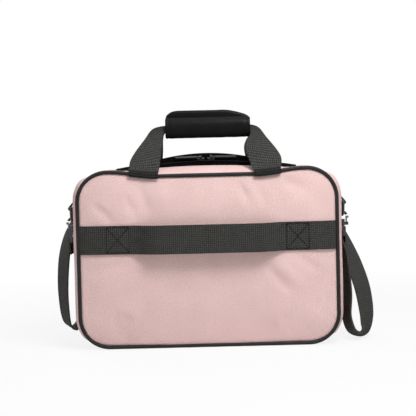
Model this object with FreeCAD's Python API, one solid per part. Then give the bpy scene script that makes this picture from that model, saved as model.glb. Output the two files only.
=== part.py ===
"""Soft-sided train case with a trolley strap, carrying handles and a shoulder strap.

Frame: +Z up, +X to the right as seen from the back, the back panel faces -Y.
The origin is the middle of the base, on the surface that the case stands on.
Every length is in millimetres.
"""

import FreeCAD
import Part
import math
import os

# Case body
PANEL_WIDTH = 352.0
PANEL_HEIGHT = 240.0
CORNER_RADIUS = 43.0
GUSSET_DEPTH = 126.0
GUSSET_WALL = 6.0
SIDE_BULGE = 3.0
TOP_SAG = 4.5
PIPING_DIAMETER = 5.4
PAD_RIM = 3.0
PAD_CROWN = 8.8
# The crown's section: share of the way in from the rim, and share of the crown's height
PAD_PROFILE = ((0.0, 0.0), (0.12, 0.45), (0.38, 0.85), (0.78, 1.0))
PANEL_SKIN = 1.2
LINING_WALL = 0.8
LINING_TOP_DROP = 9.0
BASE_BOARD_THICKNESS = 3.0
BASE_BOARD_MARGIN = 4.0
SEAM_GAP = 0.3

# Webbing, shared by the trolley strap, the handles and the shoulder strap
WEBBING_WIDTH = 38.0
WEBBING_THICKNESS = 2.0

# Trolley strap on the back panel
TROLLEY_STRAP_HEIGHT = 128.0
TROLLEY_STAND_OFF = 14.0
STITCH_BOX_MIDDLE = 119.6
STITCH_BOX_WIDTH = 30.0
TROLLEY_RISE_RUN = 38.0
TROLLEY_END_MARGIN = 2.0

# Carrying handles
HANDLE_OUTER = 102.0
HANDLE_SEAM_Y = 63.5
HANDLE_SEAM_LIFT = 1.2
HANDLE_BEAD_RADIUS = 1.5
HANDLE_BAR_WIDTH = 12.0
# How far the legs' edges run into the grip, at the top and the bottom of the bar
HANDLE_TUCK_TOP = 2.0
HANDLE_TUCK_BOTTOM = 5.0
# The legs' edges: share of the lean past the grip's end, and share of the leg's length
LEG_OUTER_EDGE = ((0.9, 0.25), (0.56, 0.7), (0.3, 1.0))
LEG_INNER_EDGE = ((-0.04, 0.47), (-0.07, 0.78))
GRIP_LENGTH = 114.0
# From the panels' top edge up to the grips
GRIP_BOTTOM = 41.2
GRIP_HEIGHT = 28.0
GRIP_THICKNESS = 14.0
GRIP_EDGE_ROUND = 6.2
FAR_GRIP_HEIGHT = 37.0
FAR_GRIP_THICKNESS = 11.0
FAR_GRIP_CORNER = 15.0
FAR_GRIP_EDGE_ROUND = 4.0
GRIP_PARTING = 1.0

# Top flaps and zip
FLAP_HALF_LENGTH = 104.0
FLAP_END_GAP = 0.5
FLAP_THICKNESS = 1.6
FLAP_HINGE_Y = 61.8
# From the panels' top edge down to the flaps' hinge lines
FLAP_HINGE_DROP = 3.3
FLAP_BEAD_RADIUS = 1.2
BACK_STRIP_EDGE_Y = -20.0
FRONT_STRIP_EDGE_Y = 14.0
ZIP_LINE_Y = -12.0
ZIP_PARTING = 1.2
# Heights above the flaps' hinge lines, in the middle and at the flaps' ends
STRIP_EDGE_HEIGHT = 6.3
STRIP_EDGE_END_HEIGHT = 1.6
ZIP_HEIGHT = 11.8
ZIP_END_HEIGHT = 2.2
CREST_HEIGHT = 19.8
CREST_END_HEIGHT = 2.8
COIL_RADIUS = 0.9
COIL_ROUND = 0.6
COIL_LIFT = 0.1
ZIP_TAB_LENGTH = 26.0
ZIP_TAB_WIDTH = 26.0
ZIP_TAB_THICKNESS = 1.2

# Zip sliders and pulls
SLIDER_LENGTH = 10.0
SLIDER_WIDTH = 6.4
SLIDER_HEIGHT = 3.0
SLIDER_START = 7.0
SLIDER_TILT = 18.0
SLIDER_CLEARANCE = 1.0
EAR_THICKNESS = 0.9
EAR_RADIUS = 1.7
PULL_PIN_RADIUS = 0.8
PULL_PIN_CLEARANCE = 0.05
PULL_LENGTH = 35.0
PULL_WIDTH = 5.0
PULL_NECK_WIDTH = 3.2
PULL_THICKNESS = 1.4

# Side rings and snap hooks
RING_WIRE = 4.0
RING_WIDTH = 28.0
RING_STRAIGHT = 4.0
RING_BAR_HEIGHT = 188.0
RING_STAND_OFF = 8.5
TAB_WIDTH = 22.0
TAB_LENGTH = 26.0
TAB_THICKNESS = 3.0
HOOK_RADIUS = 6.0
HOOK_WIRE = 3.6
HOOK_TIP_ANGLE = 20.0
SWIVEL_RADIUS = 3.4
SWIVEL_LENGTH = 9.0
LUG_HEIGHT = 4.0
LUG_WIDTH = 5.0
BOLT_RADIUS = 1.2
BOLT_CLEARANCE = 0.05
BOLT_TRAVEL = 5.0
BOLT_KNOB_RADIUS = 1.8
HOOK_EYE_WIRE = 4.0
HOOK_EYE_HEIGHT = 13.0

# Shoulder strap: how far each hanging loop stands out, and how low it hangs
RIGHT_LOOP_OUT = 37.0
RIGHT_LOOP_LOW = 2.5
LEFT_LOOP_OUT = 24.0
LEFT_LOOP_LOW = 17.5
# Each loop as shares of how far it stands out, of half the depth and of its height, with the direction
# of the webbing's width: first down from the hook to the lowest point, then up to the front corner
RIGHT_LOOP_DOWN = (
    (0.2, 0, 0.91, (0, 1, 0)), (0.14, -0.05, 0.75, (-0.08, 0.99, 0)), (0.2, -0.21, 0.42, (-0.28, 0.95, 0)),
    (0.27, -0.32, 0.19, (-0.34, 0.93, 0)), (0.43, -0.4, 0.05, (-0.25, 0.95, 0.05)),
    (0.68, -0.43, 0, (0.1, 0.99, 0.03)))
RIGHT_LOOP_UP = (
    (0.92, -0.4, 0.04, (0.42, 0.9, 0.03)), (1.0, -0.3, 0.16, (0.56, 0.83, 0)),
    (0.905, -0.11, 0.34, (0.62, 0.78, -0.02)), (0.66, 0.21, 0.53, (0.66, 0.74, -0.1)),
    (0.4, 0.58, 0.715, (0.55, 0.76, -0.3)), (0.23, 0.83, 0.85, (0.3, 0.74, -0.58)),
    (0.135, 1.02, 0.93, (0.04, 0.5, -0.86)))
LEFT_LOOP_DOWN = (
    (0.24, 0, 0.9, (0, 1, 0)), (0.11, 0.02, 0.69, (0, 1, 0)), (0.11, 0.05, 0.33, (0, 1, 0)),
    (0.15, 0.03, 0.15, (0.05, 1, 0)), (0.29, 0, 0.03, (0.2, 0.97, 0)), (0.54, -0.05, 0, (0.32, 0.94, 0.05)))
LEFT_LOOP_UP = (
    (0.81, -0.08, 0.05, (0.38, 0.92, 0.03)), (0.94, -0.08, 0.17, (0.42, 0.9, 0)),
    (1.0, -0.03, 0.33, (0.44, 0.89, -0.02)), (1.0, 0.19, 0.52, (0.46, 0.88, -0.12)),
    (0.94, 0.6, 0.715, (0.44, 0.84, -0.3)), (0.68, 0.86, 0.875, (0.32, 0.78, -0.55)),
    (0.27, 1.02, 0.96, (0.06, 0.5, -0.86)))
STRAP_CORNER_ROUND = 9.0
# From the hook's eye up to where the strap goes round the front corner
STRAP_EDGE_LIFT = 44.1
STRAP_MIDDLE_HEIGHT = 165.0
STRAP_LEVEL_RUN = 60.0
STRAP_STEPS = 3

# Strap adjuster on the front
ADJUSTER_LENGTH = 24.0
ADJUSTER_WALL = 1.6
ADJUSTER_RIM = 4.0
ADJUSTER_CORNER = 3.0
ADJUSTER_X = 30.0
ADJUSTER_BAR = 5.0

# Places worked out from the sizes above
half_width = PANEL_WIDTH / 2
half_depth = GUSSET_DEPTH / 2
side_x = half_width + SIDE_BULGE
rim_inset = PIPING_DIAMETER + SEAM_GAP
panel_reach = half_depth + PAD_RIM + PAD_CROWN + PANEL_SKIN
piping_y = half_depth + SEAM_GAP + PIPING_DIAMETER / 2
half_webbing = WEBBING_WIDTH / 2
grip_z = PANEL_HEIGHT + GRIP_BOTTOM
flap_hinge_z = PANEL_HEIGHT - FLAP_HINGE_DROP
zip_z = flap_hinge_z + ZIP_HEIGHT
ring_x = side_x + RING_STAND_OFF
ring_bottom = RING_BAR_HEIGHT - RING_STRAIGHT - RING_WIDTH / 2
hook_wire_radius = HOOK_WIRE / 2
hook_z = ring_bottom + RING_WIRE / 2 + hook_wire_radius + SEAM_GAP - HOOK_RADIUS
swivel_top = hook_z - HOOK_RADIUS + hook_wire_radius
eye_top = swivel_top - SWIVEL_LENGTH
eye_bar_z = eye_top - HOOK_EYE_HEIGHT + HOOK_EYE_WIRE / 2
strap_edge_z = eye_bar_z + STRAP_EDGE_LIFT
strap_front_y = panel_reach + SEAM_GAP + ADJUSTER_WALL + SEAM_GAP + WEBBING_THICKNESS / 2


def vec(x, y, z):
    return FreeCAD.Vector(x, y, z)


def box(low, high):
    """A box between two corners."""
    size = high - low
    return Part.makeBox(size.x, size.y, size.z, low)


def rounded_wire(half_x, low_z, high_z, radius, y):
    """A rounded rectangle, symmetric in X, in a plane of constant Y."""
    slant = radius * (1 - math.sqrt(0.5))
    left, right = -half_x, half_x

    def corner(a, b, c):
        return Part.Arc(vec(a[0], y, a[1]), vec(b[0], y, b[1]), vec(c[0], y, c[1])).toShape()

    def side(a, b):
        return Part.makeLine(vec(a[0], y, a[1]), vec(b[0], y, b[1]))

    south_w = (left + radius, low_z)
    south_e = (right - radius, low_z)
    east_s = (right, low_z + radius)
    east_n = (right, high_z - radius)
    north_e = (right - radius, high_z)
    north_w = (left + radius, high_z)
    west_n = (left, high_z - radius)
    west_s = (left, low_z + radius)
    return Part.Wire([
        side(south_w, south_e),
        corner(south_e, (right - slant, low_z + slant), east_s),
        side(east_s, east_n),
        corner(east_n, (right - slant, high_z - slant), north_e),
        side(north_e, north_w),
        corner(north_w, (left + slant, high_z - slant), west_n),
        side(west_n, west_s),
        corner(west_s, (left + slant, low_z + slant), south_w),
    ])


def panel_outline(inset, y):
    """The panel's outline, drawn in by an inset."""
    smallest = GUSSET_WALL
    radius = max(CORNER_RADIUS - inset, smallest)
    return rounded_wire(half_width - inset, inset, PANEL_HEIGHT - inset, radius, y)


def prism(inset, low_y, high_y):
    """The panel's outline, drawn in and run through a stretch of Y."""
    return Part.Face(panel_outline(inset, low_y)).extrude(vec(0, high_y - low_y, 0))


def round_bar(radius, start, along, centre, axis, sweep):
    """A round bar bent along an arc: a disc at its start, turned about the arc's axis."""
    disc = Part.Face(Part.Wire(Part.makeCircle(radius, start, along)))
    return disc.revolve(centre, axis, sweep)


def mirrored_in_x(shape):
    return shape.mirror(vec(0, 0, 0), vec(1, 0, 0))


def mirrored_in_y(shape):
    return shape.mirror(vec(0, 0, 0), vec(0, 1, 0))


def padded_face(base_y):
    """A crowned solid on the back side: a flat rim at base_y that swells towards -Y."""
    reach_in = PANEL_HEIGHT / 2 - rim_inset
    wires = []
    for share, rise in PAD_PROFILE:
        wires.append(panel_outline(rim_inset + share * reach_in, base_y - rise * PAD_CROWN))
    return Part.makeLoft(wires, True, False)


def back_foam():
    rim = prism(rim_inset, -half_depth - PAD_RIM, -half_depth)
    return rim.fuse(padded_face(-half_depth - PAD_RIM)).removeSplitter()


def panel_skin_outside():
    """The foam's space and the fabric on it, as one solid."""
    edge_y = -half_depth - PAD_RIM - PANEL_SKIN
    rim = prism(rim_inset, edge_y, -half_depth)
    return rim.fuse(padded_face(edge_y)).removeSplitter()


def back_panel():
    return panel_skin_outside().cut(back_foam())


def piping():
    """The round cord in the back seam."""
    radius = PIPING_DIAMETER / 2
    path = rounded_wire(half_width - radius, radius, PANEL_HEIGHT - radius, CORNER_RADIUS - radius, -piping_y)
    start = path.Vertexes[0].Point
    ring = Part.Wire(Part.makeCircle(radius, start, vec(1, 0, 0)))
    return path.makePipeShell([ring], True, False)


def gusset_ring():
    """The padded band between the two panels, bulged at the sides and sagging on top."""
    wires = [panel_outline(0, -half_depth)]
    wires.append(rounded_wire(side_x, -SIDE_BULGE, PANEL_HEIGHT - TOP_SAG, CORNER_RADIUS, 0))
    wires.append(panel_outline(0, half_depth))
    ring = Part.makeLoft(wires, True, False)
    far = 2 * PANEL_WIDTH
    below = box(vec(-far, -far, -far), vec(far, far, 0))
    hollow = prism(GUSSET_WALL, -GUSSET_DEPTH, GUSSET_DEPTH)
    return ring.cut(below).cut(hollow)


def gusset_parts():
    """The base, left and right lengths of the gusset; the top stays open for the flaps."""
    ring = gusset_ring()
    far = 2 * PANEL_WIDTH
    seam_x = half_width - CORNER_RADIUS
    middle_z = PANEL_HEIGHT / 2
    open_x = FLAP_HALF_LENGTH + FLAP_END_GAP
    base = ring.common(box(vec(-seam_x, -far, -1), vec(seam_x, far, middle_z)))
    low_right = ring.common(box(vec(seam_x, -far, -1), vec(far, far, middle_z)))
    high_right = ring.common(box(vec(open_x, -far, middle_z), vec(far, far, far)))
    right = low_right.fuse(high_right).removeSplitter()
    return base, mirrored_in_x(right), right


def lining():
    """The inner cloth, a thin tub that is open at the top."""
    outer_inset = GUSSET_WALL + SEAM_GAP
    outer_y = half_depth - SEAM_GAP
    outer = prism(outer_inset, -outer_y, outer_y)
    inner_y = outer_y - LINING_WALL
    inner = prism(outer_inset + LINING_WALL, -inner_y, inner_y)
    top = PANEL_HEIGHT - LINING_TOP_DROP
    far = 2 * PANEL_WIDTH
    return outer.cut(inner).cut(box(vec(-far, -far, top), vec(far, far, far)))


def base_board():
    low = GUSSET_WALL + SEAM_GAP + LINING_WALL
    half_x = half_width - CORNER_RADIUS
    half_y = half_depth - SEAM_GAP - LINING_WALL - BASE_BOARD_MARGIN
    board = box(vec(-half_x, -half_y, low), vec(half_x, half_y, low + BASE_BOARD_THICKNESS))
    upright = [edge for edge in board.Edges if abs(edge.tangentAt(edge.FirstParameter).z) > 0.9]
    return board.makeFillet(2 * BASE_BOARD_MARGIN, upright)


def reach_at(solid, x, heights):
    """The lowest Y at which lines along Y, at some heights, meet a solid."""
    far = 2 * PANEL_WIDTH
    lines = [Part.makeLine(vec(x, -far, z), vec(x, 0, z)) for z in heights]
    return min(line.common(solid).BoundBox.YMin for line in lines)


def trolley_strap():
    """Webbing across the back: flat at its stitched boxes, standing off between them."""
    outside = panel_skin_outside()
    heights = [TROLLEY_STRAP_HEIGHT + share * WEBBING_WIDTH for share in (0, 0.5, 1)]
    box_inner = STITCH_BOX_MIDDLE - STITCH_BOX_WIDTH / 2
    box_outer = STITCH_BOX_MIDDLE + STITCH_BOX_WIDTH / 2
    strap_end = half_width - rim_inset - TROLLEY_END_MARGIN
    stand_y = -panel_reach - TROLLEY_STAND_OFF
    seated = []
    box_places = [box_outer - share * STITCH_BOX_WIDTH for share in (0, 0.25, 0.5, 0.75, 1)]
    for x in [strap_end, (strap_end + box_outer) / 2] + box_places:
        seated.append((x, reach_at(outside, x, heights) - SEAM_GAP))
    lift_x = box_inner - TROLLEY_RISE_RUN
    mid_rise = ((box_inner + lift_x) / 2, (seated[-1][1] + stand_y) / 2)
    half = seated + [mid_rise, (lift_x, stand_y)]

    def edges_at(shift):
        """One face of the strap: a curve up to the level middle, on both sides of it."""
        edges = []
        for sign in (1, -1):
            points = [vec(sign * x, y - shift, TROLLEY_STRAP_HEIGHT) for x, y in half]
            level = vec(-sign, 0, 0)
            onset = (points[1] - points[0]).normalize()
            spline = Part.BSplineCurve()
            spline.interpolate(Points=points, InitialTangent=onset, FinalTangent=level)
            edges.append(spline.toShape())
        ends = [vec(sign * lift_x, stand_y - shift, TROLLEY_STRAP_HEIGHT) for sign in (1, -1)]
        return edges + [Part.makeLine(*ends)]

    caps = []
    for sign in (1, -1):
        foot = vec(sign * seated[0][0], seated[0][1], TROLLEY_STRAP_HEIGHT)
        caps.append(Part.makeLine(foot, foot - vec(0, WEBBING_THICKNESS, 0)))
    outline = Part.Wire(Part.__sortEdges__(edges_at(0) + edges_at(WEBBING_THICKNESS) + caps))
    return Part.Face(outline).extrude(vec(0, 0, WEBBING_WIDTH))


def handle_place():
    """The frame of the back handle's plane: along X, up the slope, and square to both."""
    seam = vec(0, -HANDLE_SEAM_Y, PANEL_HEIGHT + HANDLE_SEAM_LIFT)
    grip_y = -GRIP_PARTING / 2 - GRIP_THICKNESS / 2
    grip = vec(0, grip_y, grip_z + GRIP_HEIGHT / 2)
    up = grip - seam
    length = up.Length
    up.normalize()
    return seam, up, vec(1, 0, 0).cross(up), length


def handle_strap():
    """One length of webbing: two legs that lean inwards and a bar inside the grip."""
    seam, up, normal, length = handle_place()
    grip_end = GRIP_LENGTH / 2
    inner = HANDLE_OUTER - WEBBING_WIDTH
    bar_low = length - HANDLE_BAR_WIDTH / 2
    bar_high = length + HANDLE_BAR_WIDTH / 2
    shift = -normal * (WEBBING_THICKNESS / 2)

    def place(u, v):
        return seam + vec(u, 0, 0) + up * v + shift

    def smooth(points):
        spline = Part.BSplineCurve()
        spline.interpolate([place(u, v) for u, v in points])
        return spline.toShape()

    lean = HANDLE_OUTER - grip_end
    top_u = grip_end - HANDLE_TUCK_TOP
    low_u = grip_end - HANDLE_TUCK_BOTTOM

    def leg_edge(foot, shares, end):
        return [foot] + [(grip_end + a * lean, b * length) for a, b in shares] + [end]

    outer = leg_edge((HANDLE_OUTER, 0), LEG_OUTER_EDGE, (top_u, bar_high))
    inside = leg_edge((inner, 0), LEG_INNER_EDGE, (low_u, bar_low))
    edges = []
    for side in (1, -1):
        edges.append(smooth([(side * u, v) for u, v in outer]))
        edges.append(smooth([(side * u, v) for u, v in inside]))
        edges.append(Part.makeLine(place(side * inner, 0), place(side * HANDLE_OUTER, 0)))
    edges.append(Part.makeLine(place(top_u, bar_high), place(-top_u, bar_high)))
    edges.append(Part.makeLine(place(low_u, bar_low), place(-low_u, bar_low)))
    outline = Part.Wire(Part.__sortEdges__(edges))
    strap = Part.Face(outline).extrude(normal * WEBBING_THICKNESS)
    for left in (inner, -HANDLE_OUTER):
        start = seam + vec(left, 0, 0)
        strap = strap.fuse(Part.makeCylinder(HANDLE_BEAD_RADIUS, WEBBING_WIDTH, start, vec(1, 0, 0)))
    return strap


def handle_bar_hole():
    """The space that the bar takes inside its grip."""
    seam, up, normal, length = handle_place()
    half_u = GRIP_LENGTH
    half_v = HANDLE_BAR_WIDTH / 2 + SEAM_GAP
    half_n = WEBBING_THICKNESS / 2 + SEAM_GAP
    middle = seam + up * length
    corners = []
    for v, n in ((-half_v, -half_n), (half_v, -half_n), (half_v, half_n), (-half_v, half_n)):
        corners.append(middle + vec(-half_u, 0, 0) + up * v + normal * n)
    outline = Part.makePolygon(corners + corners[:1])
    return Part.Face(outline).extrude(vec(2 * half_u, 0, 0))


def near_grip():
    """The rolled leatherette sleeve on the back handle."""
    half_x = GRIP_LENGTH / 2
    low = vec(-half_x, -GRIP_PARTING / 2 - GRIP_THICKNESS, grip_z)
    high = vec(half_x, -GRIP_PARTING / 2, grip_z + GRIP_HEIGHT)
    grip = box(low, high)
    along = [edge for edge in grip.Edges if abs(edge.tangentAt(edge.FirstParameter).x) > 0.9]
    return grip.makeFillet(GRIP_EDGE_ROUND, along).cut(handle_bar_hole()).cut(handle_strap())


def far_grip():
    """The taller sleeve on the front handle, with rounded upper corners."""
    half_x = GRIP_LENGTH / 2
    top = grip_z + FAR_GRIP_HEIGHT
    near_y = GRIP_PARTING / 2
    slab = box(vec(-half_x, near_y, grip_z), vec(half_x, near_y + FAR_GRIP_THICKNESS, top))
    corners = []
    for edge in slab.Edges:
        middle = edge.CenterOfMass
        if abs(edge.tangentAt(edge.FirstParameter).y) > 0.9 and middle.z > top - 1:
            corners.append(edge)
    slab = slab.makeFillet(FAR_GRIP_CORNER, corners)
    long_edges = []
    for edge in slab.Edges:
        middle = edge.CenterOfMass
        level = abs(edge.tangentAt(edge.FirstParameter).x) > 0.9 and edge.Length > half_x
        if level and middle.y > near_y + 1:
            long_edges.append(edge)
    slab = slab.makeFillet(FAR_GRIP_EDGE_ROUND, long_edges[:1])
    return slab.cut(mirrored_in_y(handle_bar_hole())).cut(mirrored_in_y(handle_strap()))


def flap_arc(y, middle_height, end_height):
    """One arched line of the top, from end to end of the flap."""
    left = vec(-FLAP_HALF_LENGTH, y, flap_hinge_z + end_height)
    right = vec(FLAP_HALF_LENGTH, y, flap_hinge_z + end_height)
    return Part.Arc(left, vec(0, y, flap_hinge_z + middle_height), right).toShape()


def sheet_between(first, second):
    """A cloth sheet between two lines, with the flap's thickness under it."""
    return Part.makeRuledSurface(first, second).extrude(vec(0, 0, -FLAP_THICKNESS))


def zip_arc_radius():
    """The radius of the arched zip line."""
    rise = ZIP_HEIGHT - ZIP_END_HEIGHT
    return (FLAP_HALF_LENGTH ** 2 + rise ** 2) / (2 * rise)


def hinge_line(y):
    height = flap_hinge_z + FLAP_THICKNESS / 2
    return Part.makeLine(vec(-FLAP_HALF_LENGTH, y, height), vec(FLAP_HALF_LENGTH, y, height))


def top_strip(hinge_y, edge_y):
    """The pink strip from a seam up to its zip tape, with a rolled edge in the seam."""
    edge = flap_arc(edge_y, STRIP_EDGE_HEIGHT, STRIP_EDGE_END_HEIGHT)
    strip = sheet_between(hinge_line(hinge_y), edge)
    start = vec(-FLAP_HALF_LENGTH, hinge_y, flap_hinge_z)
    bead = Part.makeCylinder(FLAP_BEAD_RADIUS, 2 * FLAP_HALF_LENGTH, start, vec(1, 0, 0))
    return strip.fuse(bead)


def zip_coil(y):
    """Half of the zip's coil, a rib with a rounded top along the arched line, on the tape's edge."""
    top = ZIP_HEIGHT + COIL_LIFT + COIL_RADIUS
    end_top = ZIP_END_HEIGHT + COIL_LIFT + COIL_RADIUS
    sides = [flap_arc(y + side * COIL_RADIUS, top, end_top) for side in (-1, 1)]
    rib = Part.makeRuledSurface(*sides).extrude(vec(0, 0, -2 * COIL_RADIUS))
    middle_z = flap_hinge_z + top
    upper = [edge for edge in rib.Edges if abs(edge.BoundBox.ZMax - middle_z) < SEAM_GAP]
    return rib.makeFillet(COIL_ROUND, upper)


def coil_offset():
    """How far each half of the coil lies from the zip line."""
    return ZIP_PARTING / 2 + COIL_RADIUS


def tape_edge_offset():
    """How far each tape's edge, which runs under its coil, lies from the zip line."""
    return coil_offset() - COIL_RADIUS / 2


def back_zip_tape():
    outer = flap_arc(BACK_STRIP_EDGE_Y, STRIP_EDGE_HEIGHT, STRIP_EDGE_END_HEIGHT)
    inner = flap_arc(ZIP_LINE_Y - tape_edge_offset(), ZIP_HEIGHT, ZIP_END_HEIGHT)
    return sheet_between(outer, inner).fuse(zip_coil(ZIP_LINE_Y - coil_offset()))


def front_zip_tape():
    inner = flap_arc(ZIP_LINE_Y + tape_edge_offset(), ZIP_HEIGHT, ZIP_END_HEIGHT)
    crest = flap_arc(0, CREST_HEIGHT, CREST_END_HEIGHT)
    lap = FLAP_THICKNESS / 2
    under_crest = flap_arc(-lap, CREST_HEIGHT - lap, CREST_END_HEIGHT - lap)
    outer = flap_arc(FRONT_STRIP_EDGE_Y, STRIP_EDGE_HEIGHT, STRIP_EDGE_END_HEIGHT)
    tape = sheet_between(inner, crest).fuse(sheet_between(under_crest, outer))
    return tape.fuse(zip_coil(ZIP_LINE_Y + coil_offset()))


def zip_end_tab():
    """The closed end of the zip on the fixed top, right side."""
    start = FLAP_HALF_LENGTH + FLAP_END_GAP
    low = vec(start, ZIP_LINE_Y - ZIP_TAB_WIDTH / 2, PANEL_HEIGHT - TOP_SAG)
    high = vec(start + ZIP_TAB_LENGTH, ZIP_LINE_Y + ZIP_TAB_WIDTH / 2, PANEL_HEIGHT)
    slab = box(low, high)
    ring = gusset_ring()
    lifted = ring.copy()
    lifted.translate(vec(0, 0, ZIP_TAB_THICKNESS))
    return slab.common(lifted).cut(ring)


def slider_turn(shape, angle):
    """Turn a piece along the arched zip, about the arc's centre."""
    moved = shape.copy()
    moved.rotate(vec(0, ZIP_LINE_Y, zip_z - zip_arc_radius()), vec(0, 1, 0), angle)
    return moved


def slider_place(shape):
    """Tilt a piece that was made at the top of the zip line and set it at the right slider's place."""
    placed = shape.copy()
    placed.rotate(vec(0, 0, 0), vec(1, 0, 0), SLIDER_TILT)
    placed.translate(vec(0, ZIP_LINE_Y, zip_z + COIL_RADIUS))
    return slider_turn(placed, math.degrees(math.asin(SLIDER_START / zip_arc_radius())))


def pull_axis_height():
    return SLIDER_CLEARANCE + SLIDER_HEIGHT + EAR_RADIUS


def slider_ear(start):
    """One upright ear with a round top, across the slider from start."""
    low = SLIDER_CLEARANCE + SLIDER_HEIGHT / 2
    axis_z = pull_axis_height()
    left, right = vec(-EAR_RADIUS, start, axis_z), vec(EAR_RADIUS, start, axis_z)
    dome = Part.Arc(left, vec(0, start, axis_z + EAR_RADIUS), right).toShape()
    foot = Part.makePolygon([right, vec(EAR_RADIUS, start, low), vec(-EAR_RADIUS, start, low), left])
    return Part.Face(Part.Wire([dome] + foot.Edges)).extrude(vec(0, EAR_THICKNESS, 0))


def zip_slider():
    """A slider with two ears that carry the pull's pin; made upright, then placed."""
    low = SLIDER_CLEARANCE
    body = box(vec(-SLIDER_LENGTH / 2, -SLIDER_WIDTH / 2, low),
               vec(SLIDER_LENGTH / 2, SLIDER_WIDTH / 2, low + SLIDER_HEIGHT))
    upright = [edge for edge in body.Edges if abs(edge.tangentAt(edge.FirstParameter).z) > 0.9]
    body = body.makeFillet(SLIDER_WIDTH / 4, upright)
    inner = PULL_NECK_WIDTH / 2 + SEAM_GAP
    body = body.fuse(slider_ear(inner)).fuse(slider_ear(-inner - EAR_THICKNESS))
    reach = inner + EAR_THICKNESS / 2
    pin_start = vec(0, -reach, pull_axis_height())
    pin = Part.makeCylinder(PULL_PIN_RADIUS, 2 * reach, pin_start, vec(0, 1, 0))
    return slider_place(body.fuse(pin))


def zip_pull():
    """A flat pull: an eye on the slider's pin, a neck and a wider tongue that points to +X."""
    axis_z = pull_axis_height()
    eye_radius = EAR_RADIUS - SEAM_GAP
    half_neck = PULL_NECK_WIDTH / 2
    eye = Part.makeCylinder(eye_radius, PULL_NECK_WIDTH, vec(0, -half_neck, axis_z), vec(0, 1, 0))
    low = axis_z - PULL_THICKNESS / 2
    high = axis_z + PULL_THICKNESS / 2
    neck_end = SLIDER_LENGTH / 2 + SEAM_GAP
    neck = box(vec(0, -half_neck, low), vec(neck_end, half_neck, high))
    tongue = box(vec(neck_end, -PULL_WIDTH / 2, low), vec(PULL_LENGTH, PULL_WIDTH / 2, high))
    upright = [edge for edge in tongue.Edges if abs(edge.tangentAt(edge.FirstParameter).z) > 0.9]
    tongue = tongue.makeFillet(PULL_NECK_WIDTH / 2, upright)
    bore = Part.makeCylinder(PULL_PIN_RADIUS + PULL_PIN_CLEARANCE, PULL_WIDTH,
                             vec(0, -PULL_WIDTH / 2, axis_z), vec(0, 1, 0))
    return slider_place(eye.fuse(neck).fuse(tongue).cut(bore))


def side_ring():
    """The right D-ring: a straight bar in its tab and a round lower part."""
    radius = RING_WIDTH / 2
    top = RING_BAR_HEIGHT
    low = top - RING_STRAIGHT
    wire_radius = RING_WIRE / 2
    ring = Part.makeCylinder(wire_radius, RING_WIDTH, vec(ring_x, -radius, top), vec(0, 1, 0))
    for y in (-radius, radius):
        ring = ring.fuse(Part.makeSphere(wire_radius, vec(ring_x, y, top)))
        ring = ring.fuse(Part.makeCylinder(wire_radius, RING_STRAIGHT, vec(ring_x, y, low), vec(0, 0, 1)))
    start = vec(ring_x, radius, low)
    return ring.fuse(round_bar(wire_radius, start, vec(0, 0, 1), vec(ring_x, 0, low), vec(-1, 0, 0), 180))


def side_tab():
    """The webbing loop that holds the right D-ring, sewn on the gusset above it."""
    loop_radius = RING_WIRE / 2 + SEAM_GAP + TAB_THICKNESS / 2
    seat_x = side_x + SEAM_GAP
    top = RING_BAR_HEIGHT + TAB_LENGTH
    knee = RING_BAR_HEIGHT + loop_radius + TAB_THICKNESS
    points = [(seat_x, top), (seat_x, knee), (ring_x - loop_radius, RING_BAR_HEIGHT),
              (ring_x + loop_radius, RING_BAR_HEIGHT), (seat_x + TAB_THICKNESS, knee + TAB_THICKNESS),
              (seat_x + TAB_THICKNESS, top)]
    corners = [vec(x, -TAB_WIDTH / 2, z) for x, z in points]
    tab = Part.Face(Part.makePolygon(corners + corners[:1])).extrude(vec(0, TAB_WIDTH, 0))
    centre = vec(ring_x, -TAB_WIDTH / 2, RING_BAR_HEIGHT)
    tab = tab.fuse(Part.makeCylinder(loop_radius, TAB_WIDTH, centre, vec(0, 1, 0)))
    hole = Part.makeCylinder(RING_WIRE / 2, TAB_WIDTH, centre, vec(0, 1, 0))
    return tab.cut(hole).removeSplitter()


def bolt_x():
    return ring_x + HOOK_RADIUS * math.cos(math.radians(HOOK_TIP_ANGLE))


def snap_hook():
    """The right snap hook: a hook, a swivel with the bolt's lug, and an eye for the strap."""
    centre = vec(ring_x, 0, hook_z)
    bottom = centre - vec(0, 0, HOOK_RADIUS)
    hook = round_bar(hook_wire_radius, bottom, vec(1, 0, 0), centre, vec(0, 1, 0), 270 - HOOK_TIP_ANGLE)
    swivel = Part.makeCylinder(SWIVEL_RADIUS, SWIVEL_LENGTH, vec(ring_x, 0, eye_top), vec(0, 0, 1))
    lug_low = eye_top + HOOK_EYE_WIRE / 4
    lug = box(vec(ring_x, -LUG_WIDTH / 2, lug_low),
              vec(bolt_x() + LUG_WIDTH / 2, LUG_WIDTH / 2, lug_low + LUG_HEIGHT))
    bore_radius = BOLT_RADIUS + BOLT_CLEARANCE
    bore = Part.makeCylinder(bore_radius, 2 * LUG_HEIGHT, vec(bolt_x(), 0, eye_top), vec(0, 0, 1))
    eye_half = half_webbing + SEAM_GAP + HOOK_EYE_WIRE
    thick = HOOK_EYE_WIRE / 2
    eye = box(vec(ring_x - thick, -eye_half, eye_top - HOOK_EYE_HEIGHT),
              vec(ring_x + thick, eye_half, eye_top))
    window = box(vec(ring_x - HOOK_EYE_WIRE, -eye_half + HOOK_EYE_WIRE, eye_top - HOOK_EYE_HEIGHT),
                 vec(ring_x + HOOK_EYE_WIRE, eye_half - HOOK_EYE_WIRE, eye_top - HOOK_EYE_WIRE))
    bar = Part.makeCylinder(thick, 2 * eye_half, vec(ring_x, -eye_half, eye_bar_z), vec(0, 1, 0))
    frame = eye.cut(window).fuse(bar)
    return hook.fuse(swivel).fuse(lug.cut(bore)).fuse(frame).removeSplitter()


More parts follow.
